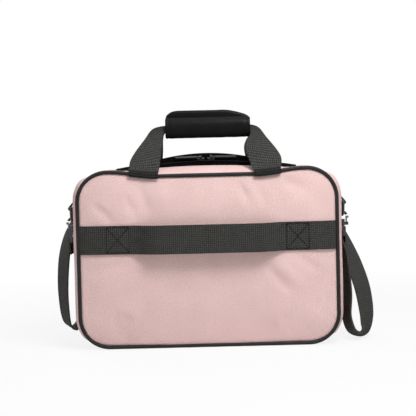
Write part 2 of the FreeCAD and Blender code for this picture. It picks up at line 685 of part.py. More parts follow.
def hook_bolt():
    """The sprung bolt that closes the hook, with its thumb knob."""
    lug_top = eye_top + HOOK_EYE_WIRE / 4 + LUG_HEIGHT
    tip_z = hook_z + HOOK_RADIUS * math.sin(math.radians(HOOK_TIP_ANGLE))
    top = tip_z - hook_wire_radius - SEAM_GAP
    low = lug_top - LUG_HEIGHT - SEAM_GAP
    bolt = Part.makeCylinder(BOLT_RADIUS, top - low, vec(bolt_x(), 0, low), vec(0, 0, 1))
    knob_z = lug_top + BOLT_TRAVEL + BOLT_KNOB_RADIUS + SEAM_GAP
    knob = Part.makeSphere(BOLT_KNOB_RADIUS, vec(bolt_x() + BOLT_KNOB_RADIUS, 0, knob_z))
    return bolt.fuse(knob)


def loop_route(out, low, down_rows, up_rows):
    """Half of the shoulder strap as (centre, width direction), from its hook to the front's middle."""
    bottom = low + WEBBING_THICKNESS / 2
    fall = strap_edge_z - STRAP_MIDDLE_HEIGHT
    slope_run = half_width - STRAP_LEVEL_RUN
    down = vec(0, 0, -1)
    corner_y = strap_front_y - STRAP_CORNER_ROUND
    route = [(vec(ring_x, 0, eye_bar_z), vec(0, 1, 0))]
    for rows, top in ((down_rows, eye_bar_z), (up_rows, strap_edge_z)):
        for out_share, depth_share, height_share, width in rows:
            centre = vec(side_x + out_share * out, depth_share * half_depth,
                         bottom + height_share * (top - bottom))
            route.append((centre, vec(*width)))
    return route + [
        (vec(side_x + WEBBING_THICKNESS, corner_y, strap_edge_z - 0.13 * fall), vec(0, 0.2, -0.98)),
        (vec(half_width - WEBBING_THICKNESS, strap_front_y - WEBBING_THICKNESS / 2, strap_edge_z), down),
        (vec(half_width - 1.8 * STRAP_CORNER_ROUND, strap_front_y, strap_edge_z - 0.09 * fall),
         vec(-0.1, 0, -0.99)),
        (vec(half_width - 0.41 * slope_run, strap_front_y, strap_edge_z - 0.39 * fall), vec(-0.22, 0, -0.97)),
        (vec(half_width - 0.74 * slope_run, strap_front_y, strap_edge_z - 0.83 * fall), vec(-0.16, 0, -0.98)),
        (vec(STRAP_LEVEL_RUN, strap_front_y, STRAP_MIDDLE_HEIGHT), down),
    ]


def flipped(route):
    """A half route on the other side of the case."""
    return [(vec(-c.x, c.y, c.z), vec(-w.x, w.y, w.z)) for c, w in route]


def between(points, index, share):
    """A smooth point between two points of a list, by a Catmull-Rom curve."""
    before = points[max(index - 1, 0)]
    here = points[index]
    after = points[index + 1]
    beyond = points[min(index + 2, len(points) - 1)]
    square = share * share
    cube = square * share
    mixed = here * 2 + (after - before) * share
    mixed += (before * 2 - here * 5 + after * 4 - beyond) * square
    mixed += (here * 3 - before - after * 3 + beyond) * cube
    return mixed * 0.5


def shoulder_strap():
    """The flat strap from the right hook, round the front, to the left hook."""
    right = loop_route(RIGHT_LOOP_OUT, RIGHT_LOOP_LOW, RIGHT_LOOP_DOWN, RIGHT_LOOP_UP)
    left = flipped(loop_route(LEFT_LOOP_OUT, LEFT_LOOP_LOW, LEFT_LOOP_DOWN, LEFT_LOOP_UP))
    route = right + list(reversed(left))
    level_start = len(right) - 1
    centres = [point for point, width in route]
    widths = [width for point, width in route]
    places = []
    for index in range(len(route) - 1):
        steps = 1 if index == level_start else STRAP_STEPS
        for step in range(steps):
            share = step / steps
            if index == level_start:
                places.append((centres[index], widths[index]))
            else:
                places.append((between(centres, index, share), between(widths, index, share)))
    places.append((centres[-1], widths[-1]))
    sections = []
    for index, (centre, width) in enumerate(places):
        ahead = places[min(index + 1, len(places) - 1)][0]
        behind = places[max(index - 1, 0)][0]
        run = (ahead - behind).normalize()
        side = width - run * width.dot(run)
        side.normalize()
        face = run.cross(side) * (WEBBING_THICKNESS / 2)
        side = side * half_webbing
        corners = [centre - side - face, centre + side - face, centre + side + face, centre - side + face]
        sections.append(Part.makePolygon(corners + corners[:1]))
    strap = Part.makeLoft(sections, True, True)
    loop_radius = HOOK_EYE_WIRE / 2 + WEBBING_THICKNESS
    bore_half = half_webbing + SEAM_GAP
    for sign in (1, -1):
        start = vec(sign * ring_x, -half_webbing, eye_bar_z)
        strap = strap.fuse(Part.makeCylinder(loop_radius, WEBBING_WIDTH, start, vec(0, 1, 0)))
        bore_start = vec(sign * ring_x, -bore_half, eye_bar_z)
        strap = strap.cut(Part.makeCylinder(HOOK_EYE_WIRE / 2, 2 * bore_half, bore_start, vec(0, 1, 0)))
    return strap


def strap_adjuster():
    """A flat sleeve on the strap's level run, with two windows that leave a middle bar."""
    half_y = WEBBING_THICKNESS / 2 + SEAM_GAP
    half_z = half_webbing + SEAM_GAP
    start = ADJUSTER_X - ADJUSTER_LENGTH / 2
    end = ADJUSTER_X + ADJUSTER_LENGTH / 2
    outer_y = half_y + ADJUSTER_WALL
    outer_z = half_z + ADJUSTER_RIM
    middle = vec(0, strap_front_y, STRAP_MIDDLE_HEIGHT)
    body = box(middle + vec(start, -outer_y, -outer_z), middle + vec(end, outer_y, outer_z))
    along_y = [edge for edge in body.Edges if abs(edge.tangentAt(edge.FirstParameter).y) > 0.9]
    body = body.makeFillet(ADJUSTER_CORNER, along_y)
    body = body.cut(box(middle + vec(start - 1, -half_y, -half_z), middle + vec(end + 1, half_y, half_z)))
    for low_x, high_x in ((start + ADJUSTER_RIM, ADJUSTER_X - ADJUSTER_BAR / 2),
                          (ADJUSTER_X + ADJUSTER_BAR / 2, end - ADJUSTER_RIM)):
        low = middle + vec(low_x, 0, -half_z)
        high = middle + vec(high_x, 2 * outer_y, half_z)
        body = body.cut(box(low, high))
    return body


def build():
    """Every node by name."""
    foam = back_foam()
    skin = back_panel()
    base, left_gusset, right_gusset = gusset_parts()
    cord = piping()
    strap = handle_strap()
    tab = zip_end_tab()
    slider = zip_slider()
    pull = zip_pull()
    ring = side_ring()
    loop = side_tab()
    hook = snap_hook()
    bolt = hook_bolt()
    return {
        "back_foam": foam,
        "front_foam": mirrored_in_y(foam),
        "back_panel": skin,
        "front_panel": mirrored_in_y(skin),
        "base_gusset": base,
        "left_gusset": left_gusset,
        "right_gusset": right_gusset,
        "back_piping": cord,
        "front_piping": mirrored_in_y(cord),
        "lining": lining(),
        "base_board": base_board(),
        "trolley_strap": trolley_strap(),
        "back_handle_strap": strap,
        "front_handle_strap": mirrored_in_y(strap),
        "back_grip": near_grip(),
        "front_grip": far_grip(),
        "back_top_strip": top_strip(-FLAP_HINGE_Y, BACK_STRIP_EDGE_Y),
        "front_top_strip": top_strip(FLAP_HINGE_Y, FRONT_STRIP_EDGE_Y),
        "back_zip_tape": back_zip_tape(),
        "front_zip_tape": front_zip_tape(),
        "zip_end_right": tab,
        "zip_end_left": mirrored_in_x(tab),
        "zip_slider_right": slider,
        "zip_slider_left": mirrored_in_x(slider),
        "zip_pull_right": pull,
        "zip_pull_left": mirrored_in_x(pull),
        "d_ring_right": ring,
        "d_ring_left": mirrored_in_x(ring),
        "d_tab_right": loop,
        "d_tab_left": mirrored_in_x(loop),
        "snap_hook_right": hook,
        "snap_hook_left": mirrored_in_x(hook),
        "hook_bolt_right": bolt,
        "hook_bolt_left": mirrored_in_x(bolt),
        "shoulder_strap": shoulder_strap(),
        "strap_adjuster": strap_adjuster(),
    }


def save(nodes):
    os.makedirs("parts", exist_ok=True)
    for name, shape in nodes.items():
        shape.exportStep(f"parts/{name}.step")
        extent = shape.BoundBox
        print(f"{name}: solids {len(shape.Solids)}, volume {shape.Volume:.0f} mm3, valid {shape.isValid()}, "
              f"x {extent.XMin:.1f} {extent.XMax:.1f}, y {extent.YMin:.1f} {extent.YMax:.1f}, "
              f"z {extent.ZMin:.1f} {extent.ZMax:.1f}")


save(build())
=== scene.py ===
# %% [markdown]
# # Dressing a soft train case
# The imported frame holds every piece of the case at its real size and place. This lesson covers it with
# what the eye sees: padded twill panels, corded seams, ribbed webbing, a zip and its fittings.
# Hard fittings keep their own shapes and only get a finish. Soft pieces are modelled anew, because
# cloth sags, puckers and rolls at its seams, and a plain solid never shows that.

# %% Load the frame
import math
from bisect import bisect_right

import bpy
from mathutils import Matrix, Quaternion, Vector, noise


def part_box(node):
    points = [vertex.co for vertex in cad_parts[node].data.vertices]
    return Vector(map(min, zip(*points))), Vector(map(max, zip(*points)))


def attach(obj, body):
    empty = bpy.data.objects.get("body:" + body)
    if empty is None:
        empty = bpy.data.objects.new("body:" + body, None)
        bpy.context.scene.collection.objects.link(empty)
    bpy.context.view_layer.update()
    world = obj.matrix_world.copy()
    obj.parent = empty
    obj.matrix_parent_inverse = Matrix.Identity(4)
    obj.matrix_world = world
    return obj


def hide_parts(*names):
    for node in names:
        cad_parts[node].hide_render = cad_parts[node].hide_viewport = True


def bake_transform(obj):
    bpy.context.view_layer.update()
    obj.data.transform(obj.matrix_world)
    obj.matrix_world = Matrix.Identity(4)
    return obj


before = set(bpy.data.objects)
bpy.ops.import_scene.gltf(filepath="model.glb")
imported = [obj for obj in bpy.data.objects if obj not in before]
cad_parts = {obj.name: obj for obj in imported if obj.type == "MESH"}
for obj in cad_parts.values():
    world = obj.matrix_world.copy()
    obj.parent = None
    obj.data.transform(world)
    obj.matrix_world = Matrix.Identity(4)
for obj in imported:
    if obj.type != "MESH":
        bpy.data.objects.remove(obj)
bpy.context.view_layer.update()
bpy.ops.object.select_all(action="DESELECT")
mm = 0.001
# The case's two faces along Y and its two sides along X, each with its sign
FACES = (("back", -1), ("front", 1))
SIDES = (("right", 1), ("left", -1))

# %% [markdown]
# ## The camera
# The picture to match was taken with a long lens from a little above the case, and the case stands a
# degree or so off level in it. A long lens far away keeps upright edges parallel, so the camera is put
# at the distance where one pixel covers the size that the webbing's known width gives.

# %% Camera
PHOTO_SIDE = 416
PIXEL = 1.3295 * mm
CASE_MIDDLE_PIXEL = 207.05
CASE_BASE_PIXEL = 348.3
LENS = 100.0
SENSOR = 36.0
LOOK_DOWN = math.radians(2.5)
ROLL = math.radians(-1.4)
PANEL_PLANE_Y = -70 * mm

centre_pixel = PHOTO_SIDE / 2
aim = Vector((
    (centre_pixel - CASE_MIDDLE_PIXEL) * PIXEL,
    PANEL_PLANE_Y,
    (CASE_BASE_PIXEL - centre_pixel) * PIXEL / math.cos(LOOK_DOWN),
))
distance = PHOTO_SIDE * PIXEL / 2 / (SENSOR / 2 / LENS)
backwards = Vector((0, -math.cos(LOOK_DOWN), math.sin(LOOK_DOWN)))
bpy.ops.object.camera_add(location=aim + backwards * distance)
camera = bpy.context.object
camera.data.lens = LENS
camera.data.sensor_width = SENSOR
camera.rotation_mode = "QUATERNION"
camera.rotation_quaternion = (-backwards).to_track_quat("-Z", "Y") @ Quaternion((0, 0, 1), ROLL)
bpy.context.scene.camera = camera
print("camera distance", round(distance, 3))

# %% [markdown]
# ## Small tools
# Cloth is easiest to lay out flat first and then move to where it hangs. `laid` adds a flat grid at the
# cloth's own size and moves each point with a rule called `place`, which turns metres along and across
# the cloth into a point in space. The UV map keeps those metres, so a weave drawn on it stays to scale.

# %% Select, shade and modify
MERGE_WITHIN = 0.02 * mm


def alone(obj):
    """Make one object the only selected one, and active."""
    bpy.ops.object.select_all(action="DESELECT")
    obj.select_set(True)
    bpy.context.view_layer.objects.active = obj


def modify(obj, kind, **settings):
    """Add a modifier, set it and apply it."""
    alone(obj)
    modifier = obj.modifiers.new(kind.lower(), kind)
    for key, value in settings.items():
        setattr(modifier, key, value)
    bpy.ops.object.modifier_apply(modifier=modifier.name)


def rounded_shade(obj, degrees=40):
    """Shade smoothly, except over edges sharper than an angle."""
    alone(obj)
    bpy.ops.object.shade_smooth_by_angle(angle=math.radians(degrees))


def thicken(obj, thickness, offset=-1.0):
    """Give a sheet its wall: inwards, or to both sides where the offset is 0."""
    modify(obj, "SOLIDIFY", thickness=thickness, offset=offset, use_even_offset=True)


def close_up(obj):
    """Merge doubled points and turn every face outwards."""
    alone(obj)
    bpy.ops.object.mode_set(mode="EDIT")
    bpy.ops.mesh.select_all(action="SELECT")
    bpy.ops.mesh.remove_doubles(threshold=MERGE_WITHIN)
    bpy.ops.mesh.normals_make_consistent(inside=False)
    bpy.ops.object.mode_set(mode="OBJECT")


# %% Lay and join cloth
def laid(name, place, length, width, step):
    """A flat grid of cloth whose points are then moved to where the cloth lies."""
    columns = max(round(length / step), 2)
    rows = max(round(width / step), 2)
    bpy.ops.object.select_all(action="DESELECT")
    bpy.ops.mesh.primitive_grid_add(x_subdivisions=columns, y_subdivisions=rows, size=1)
    obj = bpy.context.object
    obj.name = name
    obj.data.name = name
    for corner in obj.data.uv_layers.active.data:
        corner.uv = (corner.uv[0] * length, corner.uv[1] * width)
    for point in obj.data.vertices:
        point.co = place((point.co.x + 0.5) * length, (point.co.y + 0.5) * width)
    return obj


def joined(name, pieces):
    """Several pieces made one, under a new name."""
    bpy.ops.object.select_all(action="DESELECT")
    for piece in pieces:
        piece.select_set(True)
    bpy.context.view_layer.objects.active = pieces[0]
    bpy.ops.object.join()
    pieces[0].name = name
    pieces[0].data.name = name
    return pieces[0]


# %% Soft steps and uneven cloth
def smooth_step(low, high, value):
    """0 below low, 1 above high, and a soft S between them."""
    share = min(max((value - low) / (high - low), 0.0), 1.0)
    return share * share * (3 - 2 * share)


def ruffle(point, sway, shift=0.0):
    """A soft uneven rise and fall, the same on each run. A sway is its size, its height and its seed."""
    size, height, seed = sway
    seed += shift
    return noise.noise(point / size + Vector((seed, 2 * seed, 3 * seed))) * height


# %% Finish and body of a piece
def finish_piece(obj, material, slot, *nodes):
    """Give a piece its material, and hide the solids that it stands for."""
    obj.data.materials.clear()
    obj.data.materials.append(material)
    if nodes:
        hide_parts(*nodes)
    print(obj.name, "faces", len(obj.data.polygons))


def dress(obj, material, body, slot, *nodes):
    """Finish a piece that rides on one body."""
    finish_piece(obj, material, slot, *nodes)
    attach(obj, body)


# %% [markdown]
# ## Shader sums in plain Python
# A weave is a sum of waves. Wiring Math nodes by hand for it is slow to read, so one small class wraps a
# node's output and lets Python's own signs add the nodes. Any other node comes from its `node` method.

# %% Shader helper
class Socket:
    """A node output that takes part in sums, or the start of a tree when it wraps none."""

    def __init__(self, tree, output=None):
        self.tree = tree
        self.output = output

    def node(self, kind, settings=None, inputs=None, out=0):
        """Add a node: its settings first, then the values or links of its sockets."""
        made = self.tree.nodes.new(kind)
        for key, value in (settings or {}).items():
            setattr(made, key, value)
        for key, value in (inputs or {}).items():
            if isinstance(value, Socket):
                self.tree.links.new(value.output, made.inputs[key])
            else:
                made.inputs[key].default_value = value
        return Socket(self.tree, made.outputs[out])

    def sum(self, operation, first, second=0.0):
        return self.node("ShaderNodeMath", {"operation": operation}, {0: first, 1: second})

    def __add__(self, other):
        return self.sum("ADD", self, other)

    __radd__ = __add__

    def __sub__(self, other):
        return self.sum("SUBTRACT", self, other)

    def __rsub__(self, other):
        return self.sum("SUBTRACT", other, self)

    def __mul__(self, other):
        return self.sum("MULTIPLY", self, other)

    __rmul__ = __mul__

    def sine(self):
        return self.sum("SINE", self)

    def most(self, other):
        return self.sum("MAXIMUM", self, other)

    def fade(self, low, high, at_low, at_high):
        """A soft change from one level to another as this value goes from low to high."""
        ends = {"From Min": low, "From Max": high, "To Min": at_low, "To Max": at_high}
        return self.node("ShaderNodeMapRange", {"interpolation_type": "SMOOTHSTEP"}, {"Value": self, **ends})

    def mix(self, dark, light):
        """A colour between two, with this value as the share of the light one."""
        # A Mix node has sockets for each kind of data, and these are its colour ones
        return self.node("ShaderNodeMix", {"data_type": "RGBA"}, {0: self, 6: dark, 7: light}, out=2)


# %% Colours and new materials
def srgb(red, green, blue):
    """A screen colour, 0 to 255, as the linear colour that a shader takes."""
    def linear(level):
        share = level / 255
        return share / 12.92 if share <= 0.04045 else ((share + 0.055) / 1.055) ** 2.4
    return (linear(red), linear(green), linear(blue), 1.0)


def new_finish(name, **constants):
    """A material with its shader's steady values set, and the start of its tree."""
    material = bpy.data.materials.new(name)
    material.use_nodes = True
    tree = material.node_tree
    shader = tree.nodes["Principled BSDF"]
    for key, value in constants.items():
        shader.inputs[key.replace("_", " ")].default_value = value
    return material, Socket(tree), shader


def feed(shader, **links):
    """Link what varies over the surface to the shader's sockets."""
    for key, value in links.items():
        value.tree.links.new(value.output, shader.inputs[key.replace("_", " ")])


# %% Patterns
def cloth_metres(start):
    """Metres along and across a piece of cloth, from its UV map."""
    uv = start.node("ShaderNodeTexCoord", out="UV")
    along = start.node("ShaderNodeSeparateXYZ", inputs={0: uv}, out="X")
    across = start.node("ShaderNodeSeparateXYZ", inputs={0: uv}, out="Y")
    return uv, along, across


def own_metres(start):
    """Metres in a piece's own coordinates, for a finish that has no weave."""
    return start.node("ShaderNodeTexCoord", out="Object")


def ripple(value, pitch):
    """A wave from 0 to 1 that repeats once in each pitch."""
    return (value * (2 * math.pi / pitch)).sine() * 0.5 + 0.5


def grain(start, vector, scale, detail=3.0):
    """Noise with so many lumps to the metre."""
    return start.node("ShaderNodeTexNoise", inputs={"Vector": vector, "Scale": scale, "Detail": detail})


def bump(start, height, strength, depth):
    """Relief that tilts the surface without moving it."""
    return start.node("ShaderNodeBump", inputs={"Height": height, "Strength": strength, "Distance": depth})


# %% [markdown]
# ## Finish: pink twill
# The cloth of the case is a polyester twill: yarns cross over two at a time, so fine lines run slantwise.
# A picture of cloth could be wrapped round each piece, but waves that the shader sums stay sharp close up
# and need no file. They are drawn in real millimetres, with a slow mottle on top, because dyed cloth is
# never one flat colour.

# %% Pink twill
TWILL_LIGHT = srgb(246, 215, 211)
TWILL_DARK = srgb(204, 170, 167)
TWILL_LINE = 2.9 * mm
TWILL_YARN = 1.7 * mm
LINE_SLANT = 0.7
YARN_SLANT = 1.4


def pink_twill():
    """Slanting lines with a finer yarn across them, a mottle and the fuzz of spun fibres."""
    material, start, shader = new_finish("pink_twill", Roughness=0.85, Specular_IOR_Level=0.15)
    uv, along, across = cloth_metres(start)
    slant = ripple(along + across * LINE_SLANT, TWILL_LINE)
    yarn = ripple(along - across * YARN_SLANT, TWILL_YARN)
    mottle = grain(start, uv, 30.0)
    fuzz = grain(start, uv, 520.0, 2.0)
    shade = slant * 0.24 + yarn * 0.12 + mottle * 0.3 + fuzz * 1.1 - 0.38
    feed(shader, Base_Color=shade.mix(TWILL_DARK, TWILL_LIGHT))
    feed(shader, Normal=bump(start, slant * 0.6 + yarn * 0.4 + fuzz * 0.5, 0.4, 0.35 * mm))
    return material


# %% [markdown]
# ## Finish: webbing and zip tapes
# Webbing is a thick ribbed weave, and its ribs cross the strap. Each rib is made of short floats that step
# from row to row, so two waves at right angles are multiplied, and noise bends them a little, because no
# loom and no use leaves them straight. The zip's tapes are the same weave, finer and darker.

# %% Webbing and tapes
WEBBING_LIGHT = srgb(92, 92, 88)
WEBBING_RIB = 2.7 * mm
WEBBING_ROW = 2.4 * mm
WEBBING_SHINE = 0.1
TAPE_RIB = 1.5 * mm
TAPE_ROW = 1.2 * mm
TAPE_SHINE = 0.02
# The handles' legs get painted shade over this run at their foot, where they turn down over the piping
SHADED_FOOT_RUN = 12 * mm
FOOT_SHADE = 0.3


def ribbed_webbing(name, dark, light, rib, row, shine, foot=0.0):
    """Ribs across the strap, each made of short floats that step from row to row.

    A foot is a length at the start that is painted darker: painted shade where the leg turns down over the
    piping.
    """
    material, start, shader = new_finish(name, Roughness=0.8, Specular_IOR_Level=shine)
    uv, along, across = cloth_metres(start)
    mottle = grain(start, uv, 90.0)
    ribs = ripple(along + mottle * (0.4 * rib), rib)
    rows = ripple(across + ribs * (0.25 * row) + mottle * (0.35 * row), row)
    fuzz = grain(start, uv, 620.0, 2.0)
    height = ribs * 0.6 + rows * 0.4
    shade = ribs * rows * 0.45 + height * 0.15 + mottle * 0.2 + fuzz * 0.9 - 0.4
    if foot:
        # Painted shade: the foot is darkened where the leg turns down over the piping
        shade = shade - along.fade(0.75 * foot, 1.3 * foot, FOOT_SHADE, 0.0)
    feed(shader, Base_Color=shade.mix(dark, light))
    feed(shader, Normal=bump(start, height + fuzz * 0.3, 0.6, 0.45 * mm))
    return material


# %% [markdown]
# ## Finish: leatherette, cord cover, thread and lining
# The grips are a smooth leatherette with a fine pebble, which the cells of a Voronoi pattern give, and a
# rub that makes some places glossier. The piping's cord has a cover of thin cloth, worn paler here and
# there. The lining is a light checked cloth, made of the same waves as the twill.

# %% Leatherette
def leatherette():
    """Pebbled black leatherette, rubbed unevenly."""
    material, start, shader = new_finish("leatherette", Specular_IOR_Level=0.09)
    place = own_metres(start)
    pebbles = start.node("ShaderNodeTexVoronoi", {"feature": "SMOOTH_F1"}, {"Vector": place, "Scale": 900.0})
    rub = grain(start, place, 40.0)
    feed(shader, Base_Color=rub.mix(srgb(6, 6, 7), srgb(18, 18, 18)))
    feed(shader, Roughness=rub * 0.18 + 0.3)
    feed(shader, Normal=bump(start, pebbles, 0.25, 0.25 * mm))
    return material


# %% Cord cover and thread
COVER_WEAVE = 1.3 * mm
COVER_SLANT = 0.8


def cord_cover():
    """Thin black cloth cut on the slant, worn along the cord."""
    material, start, shader = new_finish("piping", Roughness=0.55, Specular_IOR_Level=0.2)
    uv, along, across = cloth_metres(start)
    weave = ripple(along + across * COVER_SLANT, COVER_WEAVE)
    worn = grain(start, uv, 60.0)
    feed(shader, Base_Color=(weave * 0.25 + worn * 0.75).mix(srgb(18, 18, 18), srgb(46, 45, 45)))
    feed(shader, Normal=bump(start, weave * 0.5 + worn, 0.25, 0.2 * mm))
    return material


def thread():
    """Black sewing thread; its stitches have no UV map, so the noise is in the piece's own metres."""
    material, start, shader = new_finish("thread", Roughness=0.7, Specular_IOR_Level=0.1)
    feed(shader, Base_Color=grain(start, own_metres(start), 700.0).mix(srgb(4, 4, 4), srgb(18, 18, 17)))
    return material


# %% Lining cloth
LINING_CHECK = 4 * mm
LINING_YARN = 0.8 * mm


def lining_cloth():
    """Grey cloth with a coarse check over a fine plain weave."""
    material, start, shader = new_finish("lining_cloth", Roughness=0.6, Specular_IOR_Level=0.2)
    uv, along, across = cloth_metres(start)
    checks = ripple(along, LINING_CHECK) * 0.5 + ripple(across, LINING_CHECK) * 0.5
    fine = ripple(along, LINING_YARN) * 0.5 + ripple(across, LINING_YARN) * 0.5
    mottle = grain(start, uv, 25.0)
    shade = checks * 0.3 + fine * 0.2 + mottle * 0.5
    feed(shader, Base_Color=shade.mix(srgb(60, 58, 60), srgb(96, 92, 94)))
    feed(shader, Normal=bump(start, checks * 0.4 + fine * 0.6, 0.3, 0.2 * mm))
    return material


# %% [markdown]
# ## Finish: plastic, metal and board
# Moulded plastic, plated metal and a covered board have no weave, so noise in the piece's own metres is
# enough: a spark in the plastic's surface, wear in the plating, and fibres in the board's cover. The noise
# also changes the gloss, because a hard surface shows its age in its reflections first.

# %% Plastic, metal and board
def moulded_plastic():
    """Black plastic with the fine spark texture of its mould."""
    material, start, shader = new_finish("black_plastic", Specular_IOR_Level=0.3)
    spark = grain(start, own_metres(start), 900.0)
    feed(shader, Base_Color=spark.mix(srgb(10, 10, 11), srgb(24, 24, 25)))
    feed(shader, Roughness=spark * 0.2 + 0.35)
    feed(shader, Normal=bump(start, spark, 0.15, 0.15 * mm))
    return material


def plated_metal(name, dark, light, rough):
    """Plating that is dull where it is worn."""
    material, start, shader = new_finish(name, Metallic=1.0)
    wear = grain(start, own_metres(start), 220.0, 5.0)
    feed(shader, Base_Color=wear.mix(dark, light))
    feed(shader, Roughness=wear * 0.22 + rough)
    return material


def covered_board():
    """Stiff board under a thin felted cover."""
    material, start, shader = new_finish("board", Roughness=0.75)
    fibre = grain(start, own_metres(start), 420.0, 4.0)
    feed(shader, Base_Color=fibre.mix(srgb(44, 43, 45), srgb(74, 72, 74)))
    feed(shader, Normal=bump(start, fibre, 0.3, 0.2 * mm))
    return material


# %% All finishes
webbing_weave = (WEBBING_LIGHT, WEBBING_RIB, WEBBING_ROW, WEBBING_SHINE)
finishes = {
    "pink_twill": pink_twill(),
    "webbing": ribbed_webbing("webbing", srgb(24, 24, 24), *webbing_weave),
    # The handles' webbing, with painted shade on the feet of its legs
    "handle_webbing": ribbed_webbing("handle_webbing", srgb(22, 22, 23), *webbing_weave, foot=SHADED_FOOT_RUN),
    "zip_tape": ribbed_webbing("zip_tape", srgb(3, 3, 3), srgb(18, 18, 17), TAPE_RIB, TAPE_ROW, TAPE_SHINE),
    "leatherette": leatherette(),
    "piping": cord_cover(),
    "thread": thread(),
    "lining_cloth": lining_cloth(),
    "black_plastic": moulded_plastic(),
    "dark_metal": plated_metal("dark_metal", srgb(28, 28, 30), srgb(62, 62, 64), 0.3),
    "bright_metal": plated_metal("bright_metal", srgb(104, 104, 107), srgb(160, 160, 163), 0.22),
    "hook_metal": plated_metal("hook_metal", srgb(40, 40, 42), srgb(86, 86, 89), 0.26),
    "board": covered_board(),
}
print("finishes", sorted(finishes))

# %% [markdown]
# ## The outline that every seam shares
# Both panels have one rounded outline, and panels, piping and gusset meet along it. A curve could hold it,
# but each piece needs points at its own spacing, so it is a function of the run along it. On the real case
# the top edge hangs a little between the handles, so the same small dip goes into everything on that seam.

# %% Outline
piping_low, piping_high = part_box("back_piping")
half_width = piping_high.x
panel_height = piping_high.z
cord_radius = (piping_high.y - piping_low.y) / 2
seam_y = -(piping_low.y + piping_high.y) / 2
half_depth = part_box("base_gusset")[1].y
CORNER_RADIUS = 43 * mm
TOP_DIP = 6.5 * mm
DIP_FLAT = 68 * mm
DIP_END = 130 * mm
DIP_FROM = 0.62

straight_x = half_width - CORNER_RADIUS
corner_run = CORNER_RADIUS * math.pi / 2
side_run = panel_height - 2 * CORNER_RADIUS
right_half = [straight_x, corner_run, side_run, corner_run]
runs = right_half + [2 * straight_x] + right_half[::-1]
perimeter = sum(runs)


def dip(x):
    """How far the top seam hangs at a place across the case."""
    return TOP_DIP * (1 - smooth_step(DIP_FLAT, DIP_END, abs(x)))


def settled(point):
    """A point of the case after its top has sunk between the handles."""
    weight = smooth_step(DIP_FROM * panel_height, panel_height, point.z)
    return Vector((point.x, point.y, point.z - dip(point.x) * weight))


def on_outline(run, inset=0.0):
    """A point of the outline, clockwise from the middle of the top, and its outward direction."""
    low, high = CORNER_RADIUS, panel_height - CORNER_RADIUS
    rest = run % perimeter
    index = 0
    while rest > runs[index] and index < len(runs) - 1:
        rest -= runs[index]
        index += 1
    turn = rest / CORNER_RADIUS
    corners = {1: (straight_x, high, 0.5), 3: (straight_x, low, 0.0),
               5: (-straight_x, low, -0.5), 7: (-straight_x, high, -1.0)}
    if index in corners:
        x, z, quarter = corners[index]
        angle = quarter * math.pi - turn
        out = Vector((math.cos(angle), 0, math.sin(angle)))
        return Vector((x, 0, z)) + out * (CORNER_RADIUS - inset), out
    flats = {0: (Vector((rest, 0, panel_height)), Vector((0, 0, 1))),
             2: (Vector((half_width, 0, high - rest)), Vector((1, 0, 0))),
             4: (Vector((straight_x - rest, 0, 0)), Vector((0, 0, -1))),
             6: (Vector((-half_width, 0, low + rest)), Vector((-1, 0, 0))),
             8: (Vector((rest - straight_x, 0, panel_height)), Vector((0, 0, 1)))}
    point, out = flats[index]
    return point - out * inset, out


print("outline", round(perimeter, 4), "m round")

# %% [markdown]
# ## Padded panels
# Each panel is foam under twill, sewn in all round, so it swells from its seam and is nearly flat in the
# middle. It could be sculpted by hand, but cloth rounds its own edge better. A grid is pulled to the
# rounded outline, given a low crown and soft folds, and then blown up gently as cloth that is held at its
# seam, which rounds the edge as sewing does.

# %% Panel outline
PANEL_INSET = 4.0 * mm
panel_half_x = half_width - PANEL_INSET
panel_half_z = panel_height / 2 - PANEL_INSET
panel_radius = CORNER_RADIUS - PANEL_INSET


def past_centres(x, up):
    """How far a point of the flat panel lies past the centres of its round corners."""
    return abs(x) - (panel_half_x - panel_radius), abs(up) - (panel_half_z - panel_radius)


def rounded_corner(past_x, past_z, radius):
    """A point of a square corner, drawn in so that the corner becomes round."""
    p, q = past_x / radius, past_z / radius
    return radius * p * math.sqrt(1 - q * q / 2), radius * q * math.sqrt(1 - p * p / 2)


def panel_point(x, z):
    """A point of the flat panel, with the grid's corners drawn in to the rounded outline."""
    up = z - panel_height / 2
    past_x, past_z = past_centres(x, up)
    if past_x > 0 and past_z > 0:
        round_x, round_z = rounded_corner(past_x, past_z, panel_radius)
        x = math.copysign(panel_half_x - panel_radius + round_x, x)
        up = math.copysign(panel_half_z - panel_radius + round_z, up)
    return x, up + panel_height / 2


def edge_distance(x, z):
    """How far a point of the flat panel lies in from its rim."""
    past_x, past_z = past_centres(x, z - panel_height / 2)
    if past_x > 0 and past_z > 0:
        return panel_radius - math.hypot(past_x, past_z)
    return panel_radius - max(past_x, past_z)


print("panel", round(2 * panel_half_x, 4), "by", round(2 * panel_half_z, 4), "m inside its seam")

# %% Soft folds
# Each fold goes from one (x, z) to another, and then come its depth and its width, all in millimetres
CREASES = {
    -1: ((-158, 203, -116, 160, 2.4, 7), (-116, 214, -88, 172, 2.2, 8), (-93, 232, -74, 172, 2.6, 8),
         (-60, 228, -56, 184, -1.8, 11), (38, 230, 62, 190, 2.6, 7), (66, 230, 80, 180, 2.0, 9),
         (92, 230, 142, 202, 2.2, 8), (140, 212, 96, 166, -1.8, 11), (66, 126, 116, 58, 2.6, 8),
         (110, 130, 158, 88, 2.2, 8), (88, 122, 134, 66, -1.8, 10), (-164, 97, -96, 124, 2.2, 8),
         (-88, 122, -138, 62, 2.0, 10), (-140, 54, -66, 18, 2.4, 8), (66, 16, 132, 54, 2.2, 8),
         (-20, 122, -44, 58, 1.3, 11), (14, 120, 44, 54, 1.3, 11)),
    1: ((-100, 230, -66, 172, 2.4, 9), (100, 230, 64, 172, 2.4, 9), (-150, 102, -84, 42, 2.0, 10),
        (148, 106, 86, 40, 2.0, 10), (-4, 118, 30, 50, 1.4, 12)),
}
CREASE_GROWS = (-0.1, 0.45)
CREASE_FADES = (0.5, 1.1)


